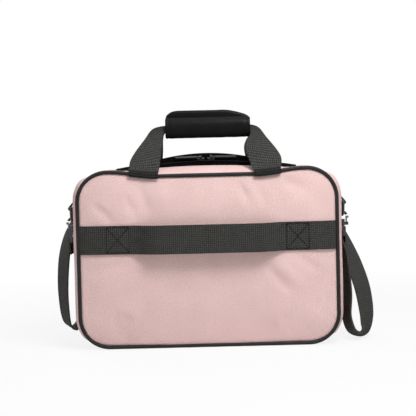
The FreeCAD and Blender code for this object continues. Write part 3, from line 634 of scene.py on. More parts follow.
def folded(x, z, sign):
    """How far soft folds push a panel's cloth in at a point."""
    depth = 0.0
    for x0, z0, x1, z1, deep, wide in CREASES[sign]:
        start = Vector((x0 * mm, z0 * mm))
        way = Vector((x1 * mm, z1 * mm)) - start
        there = Vector((x, z)) - start
        share = there.dot(way) / way.length_squared
        off = (there - way * share).length
        ends = smooth_step(*CREASE_GROWS, share) * (1 - smooth_step(*CREASE_FADES, share))
        depth += deep * mm * ends * math.exp(-(off / (wide * mm)) ** 2)
    return depth


print("folds", {name: len(CREASES[sign]) for name, sign in FACES})

# %% Panel cloth
RIM_LIFT = 2.6 * mm
PAD_CROWN = 8.2 * mm
PAD_RUN = 21 * mm
SLOW_SWAY = (75 * mm, 1.6 * mm, 3.1)
QUICK_SWAY = (28 * mm, 0.6 * mm, 7.7)
PUCKERS = (9 * mm, 0.4 * mm, 15.5)
SWAY_FROM_RIM = 30 * mm
FOLD_FROM_RIM = 14 * mm
PUCKER_FROM_RIM = 7 * mm
PUCKER_REACH = 6 * mm


def panel_place(sign, share):
    """Where a panel's cloth lies, with a share of its crown: sign -1 for the back, 1 for the front."""
    def place(along, across):
        flat_x = (along - half_width + PANEL_INSET) * -sign
        x, z = panel_point(flat_x, across + PANEL_INSET)
        inside = max(edge_distance(x, z), 0.0)
        rise = PAD_CROWN * share * (1 - math.exp(-inside / PAD_RUN))
        point = Vector((x, sign * (half_depth + RIM_LIFT + rise), z))
        soft = smooth_step(0, SWAY_FROM_RIM, inside)
        point.y += sign * soft * ruffle(point, SLOW_SWAY, sign)
        point.y += sign * soft * ruffle(point, QUICK_SWAY, sign)
        point.y -= sign * folded(x, z, sign) * smooth_step(0, FOLD_FROM_RIM, inside)
        rim = math.exp(-((inside - PUCKER_FROM_RIM) / PUCKER_REACH) ** 2)
        point.y += sign * rim * ruffle(Vector((x, z, 0.0)), PUCKERS, sign)
        return settled(point)
    return place


# %% Swelling
PRESSURE = 4.0
STIFFNESS = 3
SWELL_FRAMES = 20
SWELL_CAP = 4 * mm


def swell(obj, held):
    """Blow a sheet up as cloth held along its seam; no point moves further than the cap."""
    alone(obj)
    group = obj.vertex_groups.new(name="seam")
    group.add(held, 1.0, "REPLACE")
    before = [point.co.copy() for point in obj.data.vertices]
    cloth = obj.modifiers.new("cloth", "CLOTH")
    cloth.settings.vertex_group_mass = group.name
    cloth.settings.use_pressure = True
    cloth.settings.uniform_pressure_force = PRESSURE
    cloth.settings.effector_weights.gravity = 0
    cloth.settings.bending_stiffness = STIFFNESS
    cloth.point_cache.frame_start = 1
    cloth.point_cache.frame_end = SWELL_FRAMES
    for number in range(1, SWELL_FRAMES + 1):
        bpy.context.scene.frame_set(number)
    bpy.ops.object.modifier_apply(modifier=cloth.name)
    bpy.context.scene.frame_set(1)
    furthest = 0.0
    for point, start in zip(obj.data.vertices, before):
        move = point.co - start
        furthest = max(furthest, move.length)
        if move.length > SWELL_CAP:
            point.co = start + move * (SWELL_CAP / move.length)
    obj.vertex_groups.clear()
    print(obj.name, "swelled by up to", round(furthest / mm, 2), "mm")


# %% Panels
PANEL_STEP = 4 * mm
START_SHARE = 0.72
PAD_DEPTH = 6 * mm
RIM_WITHIN = 0.6 * PANEL_STEP
panels = {}
for name, sign in FACES:
    length = 2 * (half_width - PANEL_INSET)
    width = panel_height - 2 * PANEL_INSET
    share = START_SHARE
    panel = laid(f"{name}_padded_panel", panel_place(sign, share), length, width, PANEL_STEP)
    rim = [point.index for point in panel.data.vertices
           if edge_distance(point.co.x, point.co.z + dip(point.co.x)) < RIM_WITHIN]
    swell(panel, rim)
    thicken(panel, PAD_DEPTH)
    modify(panel, "SUBSURF", levels=1, render_levels=1)
    rounded_shade(panel)
    dress(panel, finishes["pink_twill"], "bag", "pink_twill", f"{name}_panel", f"{name}_foam")
    panels[name] = panel

# %% [markdown]
# ## The gusset
# One padded band runs round the case between the two seams: a base and two sides that go up and over to
# the ends of the zip. It bulges past the piping at the sides, and lies flat under the base so that the
# case stands. It is too thin to blow up as the panels are, so each length is laid along the outline with
# its bulge across, and uneven as stuffed cloth is.

# %% Top of the gusset
OPEN_X = 104.15 * mm
TOP_PUFF = 5.6 * mm
TOP_PUFF_FROM = 100 * mm
TOP_PUFF_TO = 128 * mm
TOP_GROOVE = 2.5 * mm
GROOVE_START = 3.3 * mm
GROOVE_UP_TO = -7 * mm
PUFF_FULL_FROM = 5 * mm


def across_crown(across):
    """0 at both seams and 1 halfway between them."""
    return math.sin(math.pi * across / (2 * half_depth))


def top_rise(x, y):
    """How far the top stands up at the zip's ends: a groove for the pulls, and a puff behind it."""
    fade = 1 - smooth_step(TOP_PUFF_FROM, TOP_PUFF_TO, abs(x))
    behind = smooth_step(GROOVE_UP_TO, PUFF_FULL_FROM, y)
    rise = behind * TOP_PUFF * fade + (1 - behind) * (GROOVE_START * fade - TOP_GROOVE)
    return across_crown(y + half_depth) * rise


# %% Gusset
GUSSET_STEP = 5 * mm
GUSSET_WALL = 6 * mm
SIDE_BULGE = 3 * mm
SEAM_PUFF = {-1: 4.4 * mm, 1: 1.2 * mm}
PUFF_FROM_SEAM = 19 * mm
PUFF_REACH = 13 * mm
TURNING = (0.55, 0.95)
TOP_TIGHT = 0.75
GUSSET_SWAY = (55 * mm, 1.6 * mm, 0.0)


def gusset_place(first_run, seed):
    """A length of the gusset, from a run along the outline."""
    def place(along, across):
        point, out = on_outline(first_run + along)
        crown = across_crown(across)
        top = smooth_step(*TURNING, out.z)
        base = smooth_step(*TURNING, -out.z)
        from_seam = min(across, 2 * half_depth - across)
        tuft = math.exp(-((from_seam - PUFF_FROM_SEAM) / PUFF_REACH) ** 2) * min(from_seam / PUFF_REACH, 1)
        puff = SEAM_PUFF[-1 if across < half_depth else 1] * tuft
        bulge = (crown * SIDE_BULGE + puff) * (1 - top - base) + top_rise(point.x, across - half_depth) * top
        point = point + out * bulge
        point.y = across - half_depth
        loose = (1 - base) * (1 - TOP_TIGHT * top) * crown
        point = point + out * loose * ruffle(point, GUSSET_SWAY, seed)
        point.z = max(point.z, 0.0)
        return settled(point)
    return place


side_length = straight_x - OPEN_X + corner_run + side_run + corner_run
base_start = straight_x + corner_run + side_run + corner_run
gusset_lengths = (
    ("right", OPEN_X, side_length, 4.2),
    ("base", base_start, 2 * straight_x, 9.4),
    ("left", base_start + 2 * straight_x, side_length, 6.8),
)
for name, first_run, length, seed in gusset_lengths:
    gusset = laid(f"{name}_gusset_pad", gusset_place(first_run, seed), length, 2 * half_depth, GUSSET_STEP)
    thicken(gusset, GUSSET_WALL)
    rounded_shade(gusset)
    dress(gusset, finishes["pink_twill"], "bag", "pink_twill", f"{name}_gusset")

# %% [markdown]
# ## Piping
# A cord in a folded cover is caught in each seam and stands up as a round black line. It could be a curve
# with a bevel. Here a grid is rolled into a tube along the outline, so that its cover gets a UV map.

# %% Piping
CORD_STEP = 1.9 * mm
COVER = -0.15 * mm
COVER_UNEVEN = 0.12 * mm
COVER_LUMPS = 60
cord_round = 2 * math.pi * cord_radius


def cord_place(y):
    """A tube round the outline, uneven as a sewn cover is, and flat where the case stands on it."""
    def place(along, across):
        point, out = on_outline(along, cord_radius)
        angle = across / cord_radius
        radius = cord_radius + COVER + COVER_UNEVEN * noise.noise(point * COVER_LUMPS)
        point = point + out * (radius * math.cos(angle))
        point.y = y + radius * math.sin(angle)
        point.z = max(point.z, 0.0)
        return settled(point)
    return place


for name, sign in FACES:
    cord = laid(f"{name}_piping_cord", cord_place(sign * seam_y), perimeter, cord_round, CORD_STEP)
    close_up(cord)
    rounded_shade(cord, 80)
    dress(cord, finishes["piping"], "bag", "piping", f"{name}_piping")

# %% [markdown]
# ## Stitches
# Sewing shows as a row of short dashes of thread. One dash is a small round bead made long; `sew` copies
# it along lines that are drawn on the cloth in metres, with the same `place` rule that laid the cloth.

# %% Copies of one shape
def taken(obj):
    """The points and faces of a shape, which is then removed."""
    points = [point.co.copy() for point in obj.data.vertices]
    faces = [list(face.vertices) for face in obj.data.polygons]
    bpy.data.objects.remove(obj)
    return points, faces


def copied(name, shape, spots):
    """One mesh of many copies of a shape, each turned by a matrix and moved to its spot."""
    shape_points, shape_faces = shape
    points, faces = [], []
    for turn, spot in spots:
        offset = len(points)
        points += [spot + turn @ corner for corner in shape_points]
        faces += [[offset + corner for corner in face] for face in shape_faces]
    mesh = bpy.data.meshes.new(name)
    mesh.from_pydata(points, [], faces)
    obj = bpy.data.objects.new(name, mesh)
    bpy.context.scene.collection.objects.link(obj)
    return obj


# %% Stitch tool
DASH = 3.0 * mm
DASH_GAP = 0.5 * mm
THREAD = 0.65 * mm
NUDGE = 0.5 * mm


def dash_shape():
    """One dash, a bead of thread along X."""
    bpy.ops.object.select_all(action="DESELECT")
    bpy.ops.mesh.primitive_uv_sphere_add(segments=6, ring_count=4, radius=1, rotation=(0, math.pi / 2, 0))
    bead = bpy.context.object
    bpy.ops.object.transform_apply(rotation=True)
    for point in bead.data.vertices:
        point.co = point.co * Vector((DASH / 2, THREAD, THREAD))
    return taken(bead)


def dash_turn(place, middle, half):
    """The turn of a dash that lies along its line, with its third axis out of the cloth."""
    spot = place(*middle)
    run = (place(*(middle + half)) - place(*(middle - half))).normalized()
    along = place(middle.x + NUDGE, middle.y) - spot
    across = place(middle.x, middle.y + NUDGE) - spot
    up = along.cross(across).normalized()
    return spot, up, Matrix((run, up.cross(run), up)).transposed()


def sew(name, place, lines, lift=0.0):
    """Dashes of thread along lines of (along, across) points on a piece of cloth."""
    spots = []
    for line in lines:
        for first, second in zip(line, line[1:]):
            way = Vector((second[0] - first[0], second[1] - first[1]))
            count = max(int(way.length / (DASH + DASH_GAP)), 1)
            half = way.normalized() * (DASH / 2)
            for index in range(count):
                middle = Vector(first) + way * ((index + 0.5) / count)
                spot, up, turn = dash_turn(place, middle, half)
                spots.append((turn, spot + up * lift))
    stitches = copied(name, one_dash, spots)
    rounded_shade(stitches, 80)
    dress(stitches, finishes["thread"], "bag", "webbing")


def box_stitch(left, low, wide, high):
    """A sewn box with a cross in it."""
    right, top = left + wide, low + high
    return [[(left, low), (right, low), (right, top), (left, top), (left, low)],
            [(left, low), (right, top)], [(left, top), (right, low)]]


one_dash = dash_shape()
print("dash", len(one_dash[1]), "faces")

# %% [markdown]
# ## The trolley strap
# A length of webbing crosses the back as a sleeve that is open above and below. It is sewn flat near both
# ends, with a cross in a box, and stands off between. It could be given one fixed distance, but the panel
# is crowned and folded, so its seat is measured on the finished panel and it never sinks into the padding.

# %% Seat of the strap
strap_low, strap_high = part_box("trolley_strap")
WEB_THICK = 2 * mm
WEB_WIDTH = 38 * mm
WEB_STEP = 2.5 * mm
STRAP_TUCK = 2.6 * mm
SEAT_GAP = 0.25 * mm
SEAT_COUNT = 48
SEAT_SHARES = (0.03, 0.25, 0.5, 0.75, 0.97)
strap_half = strap_high.x + STRAP_TUCK
strap_width = strap_high.z - strap_low.z
seat_heights = [strap_low.z + strap_width * share for share in SEAT_SHARES]
bpy.context.view_layer.update()


def panel_front(panel, x, z, sign):
    """The Y at which a line along Y first meets a panel."""
    hit, spot = panel.ray_cast(Vector((x, sign, z)), Vector((0, -sign, 0)))[:2]
    return spot.y if hit else sign * (half_depth + RIM_LIFT)


seats = []
for index in range(SEAT_COUNT + 1):
    x = -strap_half + 2 * strap_half * index / SEAT_COUNT
    seats.append(min(panel_front(panels["back"], x, z, -1) for z in seat_heights) - SEAT_GAP - WEB_THICK)
print("strap's seat from", round(min(seats), 4), "to", round(max(seats), 4))

# %% Trolley strap
STITCH_BOX_MIDDLE = 119.6 * mm
STITCH_BOX_WIDTH = 30 * mm
STAND_OFF_RUN = 40 * mm
WEB_WAVE = 0.25 * mm
WAVE_ALONG = 70
WAVE_ACROSS = 25
box_inner = STITCH_BOX_MIDDLE - STITCH_BOX_WIDTH / 2


def trolley_place(along, across):
    """On its seat near the ends, and out at the solid's own stand between the sewn boxes."""
    x = along - strap_half
    spot = along / (2 * strap_half) * SEAT_COUNT
    index = min(int(max(spot, 0)), SEAT_COUNT - 1)
    seat = seats[index] + (seats[index + 1] - seats[index]) * (spot - index)
    lift = 1 - smooth_step(box_inner - STAND_OFF_RUN, box_inner, abs(x))
    y = seat + (strap_low.y - seat) * lift
    wave = WEB_WAVE * math.sin(along * WAVE_ALONG + across * WAVE_ACROSS)
    return Vector((x, y + wave, strap_low.z + across))


trolley = laid("trolley_webbing", trolley_place, 2 * strap_half, strap_width, WEB_STEP)
thicken(trolley, WEB_THICK)
rounded_shade(trolley, 50)
dress(trolley, finishes["webbing"], "bag", "webbing", "trolley_strap")

# %% Trolley stitches
SEW_MARGIN = 2.2 * mm
trolley_lines = []
for sign in (-1, 1):
    left = strap_half + sign * STITCH_BOX_MIDDLE - STITCH_BOX_WIDTH / 2
    trolley_lines += box_stitch(left, SEW_MARGIN, STITCH_BOX_WIDTH, strap_width - 2 * SEW_MARGIN)
sew("trolley_stitches", trolley_place, trolley_lines)

# %% [markdown]
# ## Carrying handles
# Each handle is webbing that comes out of the top seam over the piping, leans in and runs into a grip.
# A leg narrows as it is gathered into the grip, so it is laid between an inner and an outer edge, each a
# smooth curve.

# %% Edges of the legs
HANDLE_OUTER = {-1: 103 * mm, 1: 99.5 * mm}
HANDLE_INNER = 64 * mm
HANDLE_SEAM_Y = 63.5 * mm
HANDLE_SEAM_Z = 241.2 * mm
HANDLE_BAR_HALF = 6 * mm
HANDLE_TUCK = 7 * mm
GRIP_MIDDLE_Y = 7.5 * mm
grip_low, grip_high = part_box("back_grip")
grip_middle_z = (grip_low.z + grip_high.z) / 2
grip_half = grip_high.x
# Points of the legs' edges, as shares of the reach past the grip and of the leg's length
LEG_REACH = 48.6 * mm
LEG_OUTER_EDGE = ((0.9, 0.25), (0.56, 0.7), (0.3, 1.0))
LEG_INNER_EDGE = {
    -1: ((0.07, 0.42), (0.045, 0.7), (0.0, 0.86)),
    1: ((-0.05, 0.42), (0.0, 0.66), (0.12, 0.84)),
}

leg_up = Vector((0, HANDLE_SEAM_Y - GRIP_MIDDLE_Y, grip_middle_z - HANDLE_SEAM_Z))
leg_length = leg_up.length
leg_up.normalize()


def curve_through(points, share):
    """A smooth point on a list of points, by a Catmull-Rom curve."""
    spot = min(max(share, 0.0), 1.0) * (len(points) - 1)
    index = min(int(spot), len(points) - 2)
    t = spot - index
    before, here, after = points[max(index - 1, 0)], points[index], points[index + 1]
    beyond = points[min(index + 2, len(points) - 1)]
    bend = (before * 2 - here * 5 + after * 4 - beyond) * (t * t)
    twist = (here * 3 - before - after * 3 + beyond) * (t * t * t)
    return (here * 2 + (after - before) * t + bend + twist) * 0.5


def leg_edge(foot, shares, end_height):
    """One edge of a leg as it lies flat, from its seam up into the grip."""
    points = [Vector((foot, 0))]
    points += [Vector((grip_half + out * LEG_REACH, up * leg_length)) for out, up in shares]
    return points + [Vector((grip_half - HANDLE_TUCK, end_height))]


def leg_edges(side):
    """The inner and the outer edge of a leg: side 1 is right, -1 left."""
    inner = leg_edge(HANDLE_INNER, LEG_INNER_EDGE[side], leg_length - HANDLE_BAR_HALF / 2)
    outer = leg_edge(HANDLE_OUTER[side], LEG_OUTER_EDGE, leg_length + HANDLE_BAR_HALF)
    return inner, outer


print("handle legs", round(leg_length, 4), "m from seam to grip")

# %% Handle legs
LEG_LEAN = 1.25
LEG_BEND_FROM = 0.6
SINK_UP_TO = 0.4
FOOT_RUN = 11 * mm
# The foot's way round the piping, in millimetres inwards and upwards from the cord's middle
FOOT_PATH = [Vector(spot) for spot in ((-3.9, -3.6), (-4.3, -0.6), (-3.8, 2.4), (-1.0, 4.6), (2.5, 4.9))]


def leg_lean(climb):
    """How much of its lean a leg has done at a share of its climb; it enters the grip upright."""
    past = max(climb - LEG_BEND_FROM, 0.0) / (1 - LEG_BEND_FROM)
    return LEG_LEAN * climb - (LEG_LEAN - 1) * past ** 2


def leg_place(side, sign):
    """A leg of the handle on one side: side 1 is right, sign -1 is the back."""
    inner_edge, outer_edge = leg_edges(side)

    def place(along, across):
        share = across / WEB_WIDTH if side * sign > 0 else 1 - across / WEB_WIDTH
        if along < FOOT_RUN:
            x = HANDLE_INNER + (HANDLE_OUTER[side] - HANDLE_INNER) * share
            spot = curve_through(FOOT_PATH, along / FOOT_RUN) * mm
            cord_z = panel_height - cord_radius - dip(x)
            return Vector((side * x, sign * (seam_y - spot.x), cord_z + spot.y))
        climb = (along - FOOT_RUN) / leg_length
        x, rise = curve_through(inner_edge, climb).lerp(curve_through(outer_edge, climb), share)
        point = Vector((side * x, sign * HANDLE_SEAM_Y, HANDLE_SEAM_Z))
        point.y -= sign * leg_up.y * leg_length * leg_lean(rise / leg_length)
        point.z += leg_up.z * rise
        point.z -= (1 - smooth_step(0.0, SINK_UP_TO, climb)) * dip(x)
        return point
    return place


# %% Handles
for name, sign in FACES:
    legs = []
    for side in (-1, 1):
        leg = laid(f"{name}_leg", leg_place(side, sign), FOOT_RUN + leg_length, WEB_WIDTH, WEB_STEP)
        thicken(leg, WEB_THICK, 0.0)
        legs.append(leg)
    handle = joined(f"{name}_handle_webbing", legs)
    rounded_shade(handle, 50)
    finish_piece(handle, finishes["handle_webbing"], "webbing", f"{name}_handle_strap")
    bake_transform(handle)

# %% [markdown]
# ## Grips
# The near grip is leatherette rolled round the webbing, and the far one a flat sleeve that stands higher,
# with round corners. A lofted tube would do for the first and not for the second, so both start as a box
# with rounded edges, cut across many times and drawn in; a hem near each end is a shallow groove.

# %% Grip tool
GRIP_CUTS = 38
GRIP_LEVELS = 9
GRIP_BEVELS = 9
GRIP_LEFT_IN = 2.0 * mm
GRIP_RIGHT_OUT = 5.0 * mm


def box_sleeve(name, node, corner):
    """A box of a node's size with its long edges rounded, cut across many times."""
    low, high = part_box(node)
    low.x += GRIP_LEFT_IN
    high.x += GRIP_RIGHT_OUT
    half = (high - low) / 2
    bpy.ops.object.select_all(action="DESELECT")
    bpy.ops.mesh.primitive_cube_add(size=1)
    grip = bpy.context.object
    grip.name = name
    grip.data.name = name
    bpy.ops.object.mode_set(mode="EDIT")
    bpy.ops.transform.resize(value=tuple(2 * half))
    bpy.ops.mesh.select_mode(type="EDGE")
    bpy.ops.mesh.select_all(action="DESELECT")
    bpy.ops.object.mode_set(mode="OBJECT")
    for edge in grip.data.edges:
        first, second = (grip.data.vertices[index].co for index in edge.vertices)
        edge.select = abs(first.x - second.x) > half.x
    bpy.ops.object.mode_set(mode="EDIT")
    bpy.ops.mesh.bevel(offset=corner, segments=GRIP_BEVELS, profile=0.5)
    for index in range(1, GRIP_CUTS):
        bpy.ops.mesh.select_all(action="SELECT")
        x = half.x * math.sin(math.pi / 2 * (2 * index / GRIP_CUTS - 1))
        bpy.ops.mesh.bisect(plane_co=(x, 0, 0), plane_no=(1, 0, 0))
    for index in range(1, GRIP_LEVELS):
        bpy.ops.mesh.select_all(action="SELECT")
        z = (half.z - corner) * (2 * index / GRIP_LEVELS - 1)
        bpy.ops.mesh.bisect(plane_co=(0, 0, z), plane_no=(0, 0, 1))
    bpy.ops.object.mode_set(mode="OBJECT")
    return grip, half, (low + high) / 2


# %% Ends of a grip
HEM_IN = 4.5 * mm
HEM_GROOVE = 0.45 * mm
HEM_REACH = 1.1 * mm
END_ROUND = 1.6 * mm
GRIP_UNEVEN = 0.25 * mm
GRIP_LUMPS = Vector((90, 30, 70))


def closeness(distance, run):
    """1 at an end, and 0 from a run away from it."""
    return min(max(1 - distance / run, 0.0), 1.0)


def rolled(share):
    """The fall of a quarter circle: 0 at share 0, and 1 at share 1."""
    return 1 - math.sqrt(1 - share ** 2)


def drawn_in(point, half):
    """Draw a sleeve's point in: round at the very ends, with a stitched hem a little way along."""
    inside = half.x - abs(point.x)
    hem = HEM_GROOVE * math.exp(-((inside - HEM_IN) / HEM_REACH) ** 2)
    end = END_ROUND * rolled(closeness(inside, END_ROUND))
    pull = hem + end + GRIP_UNEVEN * noise.noise(point * GRIP_LUMPS)
    across = Vector((0, point.y, point.z))
    return point - across.normalized() * pull if across.length > 0 else point


# %% Near grip
NEAR_CORNER = 6.7 * mm
NEAR_ROUND = 0.62
near, near_half, near_middle = box_sleeve("back_grip_sleeve", "back_grip", NEAR_CORNER)
for point in near.data.vertices:
    point.co.y *= 1 - NEAR_ROUND * (point.co.z / near_half.z) ** 2
    point.co = drawn_in(point.co, near_half) + near_middle
rounded_shade(near, 50)
dress(near, finishes["leatherette"], "back_handle", "leatherette", "back_grip")

# %% Far grip
FAR_CORNER = 4.2 * mm
FAR_LEFT_RUN = 17 * mm
FAR_LEFT_FALL = 11 * mm
FAR_RIGHT_RUN = 38 * mm
FAR_RIGHT_FALL = 9 * mm
FAR_RIGHT_POWER = 1.8
FAR_CROWN = 1.5 * mm
FAR_TIP = 5 * mm
far, far_half, far_middle = box_sleeve("front_grip_sleeve", "front_grip", FAR_CORNER)
for point in far.data.vertices:
    point.co = drawn_in(point.co, far_half)
    from_left, from_right = point.co.x + far_half.x, far_half.x - point.co.x
    fall = FAR_LEFT_FALL * rolled(closeness(from_left, FAR_LEFT_RUN))
    fall += FAR_RIGHT_FALL * closeness(from_right, FAR_RIGHT_RUN) ** FAR_RIGHT_POWER
    fall += FAR_TIP * rolled(closeness(from_right, FAR_TIP))
    point.co.z += (FAR_CROWN - fall) * smooth_step(0, far_half.z, point.co.z)
    point.co += far_middle
rounded_shade(far, 50)
dress(far, finishes["leatherette"], "front_handle", "leatherette", "front_grip")

# %% [markdown]
# ## The top: strips, zip tapes and coil
# Two pink strips rise from the seams to an arched zip. The tapes ride on the flaps. They could all be one
# surface with painted bands, but then the flaps couldn't part and no edge would cast a shadow, so each is a
# sheet of its own, and the coil's teeth are real.

# %% Arched lines
FLAP_HALF = 104 * mm
FLAP_SEAM_Y = 61.8 * mm
FLAP_HINGE_Z = 236.7 * mm
ZIP_Y = -12 * mm
STRIP_EDGE_Y = {-1: -20 * mm, 1: 14 * mm}
# Heights of the arched lines, in the middle and at the ends
STRIP_EDGE = (243.0 * mm, 238.3 * mm)
ZIP_EDGE = (248.5 * mm, 238.9 * mm)
CREST = (259.5 * mm, 240.0 * mm)


def arch(line, x):
    """The height of an arched line of the top."""
    middle_height, end_height = line
    rise = middle_height - end_height
    radius = (FLAP_HALF ** 2 + rise ** 2) / (2 * rise)
    return middle_height - radius + math.sqrt(radius ** 2 - x ** 2)


print("zip arches by", round((ZIP_EDGE[0] - ZIP_EDGE[1]) / mm, 1), "mm")

# %% Cut of a sheet
CUT_STEPS = 20


def run_of(points):
    """The length of a line through points."""
    return sum((second - first).length for first, second in zip(points, points[1:]))


def cut_of(sheet, place, length, width):
    """What a laid sheet was cut from: its longest run, its widest part, and its flat area."""
    shares = [step / CUT_STEPS for step in range(CUT_STEPS + 1)]
    long_lines = [[place(share * length, edge * width) for share in shares] for edge in (0, 0.5, 1)]
    wide_lines = [[place(spot * length, share * width) for share in shares] for spot in (0.1, 0.5, 0.9)]
    longest = max(run_of(line) for line in long_lines)
    widest = max(run_of(line) for line in wide_lines)
    area = sum(face.area for face in sheet.data.polygons)
    print(sheet.name, "cut", round(longest / mm, 1), "by", round(widest / mm, 1), "mm,", round(area, 5), "m2")
    return (longest, widest), area


# %% Strips
STRIP_STEP = 3 * mm
STRIP_THICK = 1.4 * mm
STRIP_PAST_SEAM = 1.0 * mm
STRIP_LIFT = 2.2 * mm
STRIP_PUFF = 1.6 * mm
STRIP_SWAY = (30 * mm, 0.7 * mm, 12.3)


def strip_place(sign):
    """The pink strip from its seam (across 0) up to its zip tape, and its width."""
    seam = sign * (FLAP_SEAM_Y + STRIP_PAST_SEAM)
    edge_y = STRIP_EDGE_Y[sign]
    width = abs(edge_y - seam)

    def place(along, across):
        x = (along - FLAP_HALF) * -sign
        share = across / width
        low = FLAP_HINGE_Z + STRIP_LIFT - dip(x)
        high = arch(STRIP_EDGE, x)
        puff = math.sin(math.pi * min(share, 1.0)) * STRIP_PUFF
        point = Vector((x, seam + (edge_y - seam) * share, low + (high - low) * share + puff))
        point.z += math.sin(math.pi * share) * ruffle(point, STRIP_SWAY, sign)
        return point
    return place, width


for name, sign in FACES:
    place, width = strip_place(sign)
    strip = laid(f"{name}_pink_strip", place, 2 * FLAP_HALF, width, STRIP_STEP)
    cut, area = cut_of(strip, place, 2 * FLAP_HALF, width)
    thicken(strip, STRIP_THICK)
    rounded_shade(strip)
    finish_piece(strip, finishes["pink_twill"], "pink_twill", f"{name}_top_strip")
    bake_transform(strip)

# %% Zip tapes
TAPE_STEP = 1.6 * mm
TAPE_THICK = 1.0 * mm
TAPE_TUCK = 3 * mm
TAPE_UNDER = 1.6 * mm
TAPE_LIFT = 0.7 * mm
COIL_CLEAR = 0.7 * mm
TAPE_PAST_STRIP = 1.5 * mm
CREST_POWER = 1.6
back_tape_width = ZIP_Y - COIL_CLEAR - STRIP_EDGE_Y[-1] + TAPE_TUCK
front_slope = -ZIP_Y - COIL_CLEAR
front_tape_width = front_slope + STRIP_EDGE_Y[1] + TAPE_PAST_STRIP


def back_tape_place(along, across):
    """The tape from under the strip's folded edge up to the coil."""
    x = along - FLAP_HALF
    share = smooth_step(TAPE_TUCK, back_tape_width, across)
    low = arch(STRIP_EDGE, x) - TAPE_UNDER
    high = arch(ZIP_EDGE, x) + TAPE_LIFT
    return Vector((x, STRIP_EDGE_Y[-1] - TAPE_TUCK + across, low + (high - low) * share))


def front_tape_place(along, across):
    """The tape from the coil up to the crest and down on the front strip."""
    x = along - FLAP_HALF
    y = ZIP_Y + COIL_CLEAR + across
    crest = arch(CREST, x)
    if y < 0:
        coil = arch(ZIP_EDGE, x)
        height = coil + (crest - coil) * math.sin(across / front_slope * math.pi / 2)
    else:
        height = crest + (arch(STRIP_EDGE, x) - crest) * (y / STRIP_EDGE_Y[1]) ** CREST_POWER
    return Vector((x, y, height + TAPE_LIFT))


tape_parts = (("back", back_tape_place, back_tape_width), ("front", front_tape_place, front_tape_width))
for name, place, width in tape_parts:
    tape = laid(f"{name}_zip_cloth", place, 2 * FLAP_HALF, width, TAPE_STEP)
    cut, area = cut_of(tape, place, 2 * FLAP_HALF, width)
    thicken(tape, TAPE_THICK)
    rounded_shade(tape)
    dress(tape, finishes["zip_tape"], f"{name}_flap", "zip_tape", f"{name}_zip_tape")

# %% Zip teeth
TOOTH_PITCH = 2.0 * mm
TOOTH_SIZE = Vector((1.1 * mm, 2.4 * mm, 1.3 * mm))
TOOTH_BEVEL = 0.35 * mm
TOOTH_FROM_MIDDLE = 1.05 * mm
TOOTH_LIFT = 0.95 * mm
TOOTH_STAGGER = 0.25


def tooth_shape():
    """One turn of the coil: a small block with rounded edges."""
    bpy.ops.object.select_all(action="DESELECT")
    bpy.ops.mesh.primitive_cube_add(size=1)
    tooth = bpy.context.object
    for point in tooth.data.vertices:
        point.co = point.co * TOOTH_SIZE
    modify(tooth, "BEVEL", width=TOOTH_BEVEL, segments=1)
    return taken(tooth)


one_tooth = tooth_shape()
tooth_count = int(2 * FLAP_HALF / TOOTH_PITCH) - 1
for name, sign in FACES:
    spots = []
    for index in range(tooth_count):
        x = -FLAP_HALF + TOOTH_PITCH * (index + 1 + TOOTH_STAGGER * sign)
        spot = Vector((x, ZIP_Y + sign * TOOTH_FROM_MIDDLE, arch(ZIP_EDGE, x) + TOOTH_LIFT))
        spots.append((Matrix.Identity(3), spot))
    teeth = copied(f"{name}_zip_teeth", one_tooth, spots)
    dress(teeth, finishes["black_plastic"], f"{name}_flap", "black_plastic")

# %% Zip ends
ZIP_END_LENGTH = 20.5 * mm
ZIP_END_WIDTH = 35 * mm
ZIP_END_MIDDLE_Y = -3.5 * mm
ZIP_END_LIFT = 1.2 * mm
ZIP_END_STEP = 1.7 * mm


def zip_end_place(side):
    """The two tapes' joined end, which lies on the gusset past the opening."""
    def place(along, across):
        x = side * (OPEN_X + along)
        y = ZIP_END_MIDDLE_Y + (across - ZIP_END_WIDTH / 2) * side
        point = settled(Vector((x, y, panel_height + top_rise(x, y))))
        return point + Vector((0, 0, ZIP_END_LIFT))
    return place


for name, side in SIDES:
    end = laid(f"zip_end_patch_{name}", zip_end_place(side), ZIP_END_LENGTH, ZIP_END_WIDTH, ZIP_END_STEP)
    thicken(end, TAPE_THICK)
    close_up(end)
    rounded_shade(end)
    dress(end, finishes["zip_tape"], "bag", "zip_tape", f"zip_end_{name}")

# %% [markdown]
# ## Ring tabs and the shoulder strap
# A webbing tab holds each ring on the gusset. The shoulder strap hangs from two hooks, drops in a loop at
# each side and comes up round the front corners. A curve with a flat bevel could make it, but a bevel
# twists by itself. So it is laid flat and then led along its route, with a width direction at each point,
# and it turns as webbing does.

# %% Ring tabs
RING_BAR = 2 * mm
TAB_WIDTH = 22 * mm
TAB_REACH = 26 * mm
TAB_ROUND = 16 * mm
TAB_CLOTH = 1.5 * mm
TAB_STEP = 1.6 * mm
TAB_GAP = 0.6 * mm
TAB_SEWN = 11 * mm
TAB_LENGTH = 2 * TAB_REACH + TAB_ROUND
# The two layers as millimetres out from the seat and shares of the reach, and the turn round the bar
TAB_DOWN = ((0, 1), (0, 0.6), (0.5, 0.33))
TAB_TURN = (165, 215, 270, 325, 375)
TAB_UP = ((2.6, 0.45), (1.7, 0.7), (1.6, 1))
ring_low, ring_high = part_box("d_ring_right")
ring_x = (ring_low.x + ring_high.x) / 2
ring_bar_z = ring_high.z - RING_BAR
side_x = half_width + SIDE_BULGE


def tab_layer(rows):
    """Points of one layer of a tab, in its own upright plane."""
    seat = side_x + TAB_GAP
    return [Vector((seat + out * mm, ring_bar_z + TAB_REACH * share)) for out, share in rows]


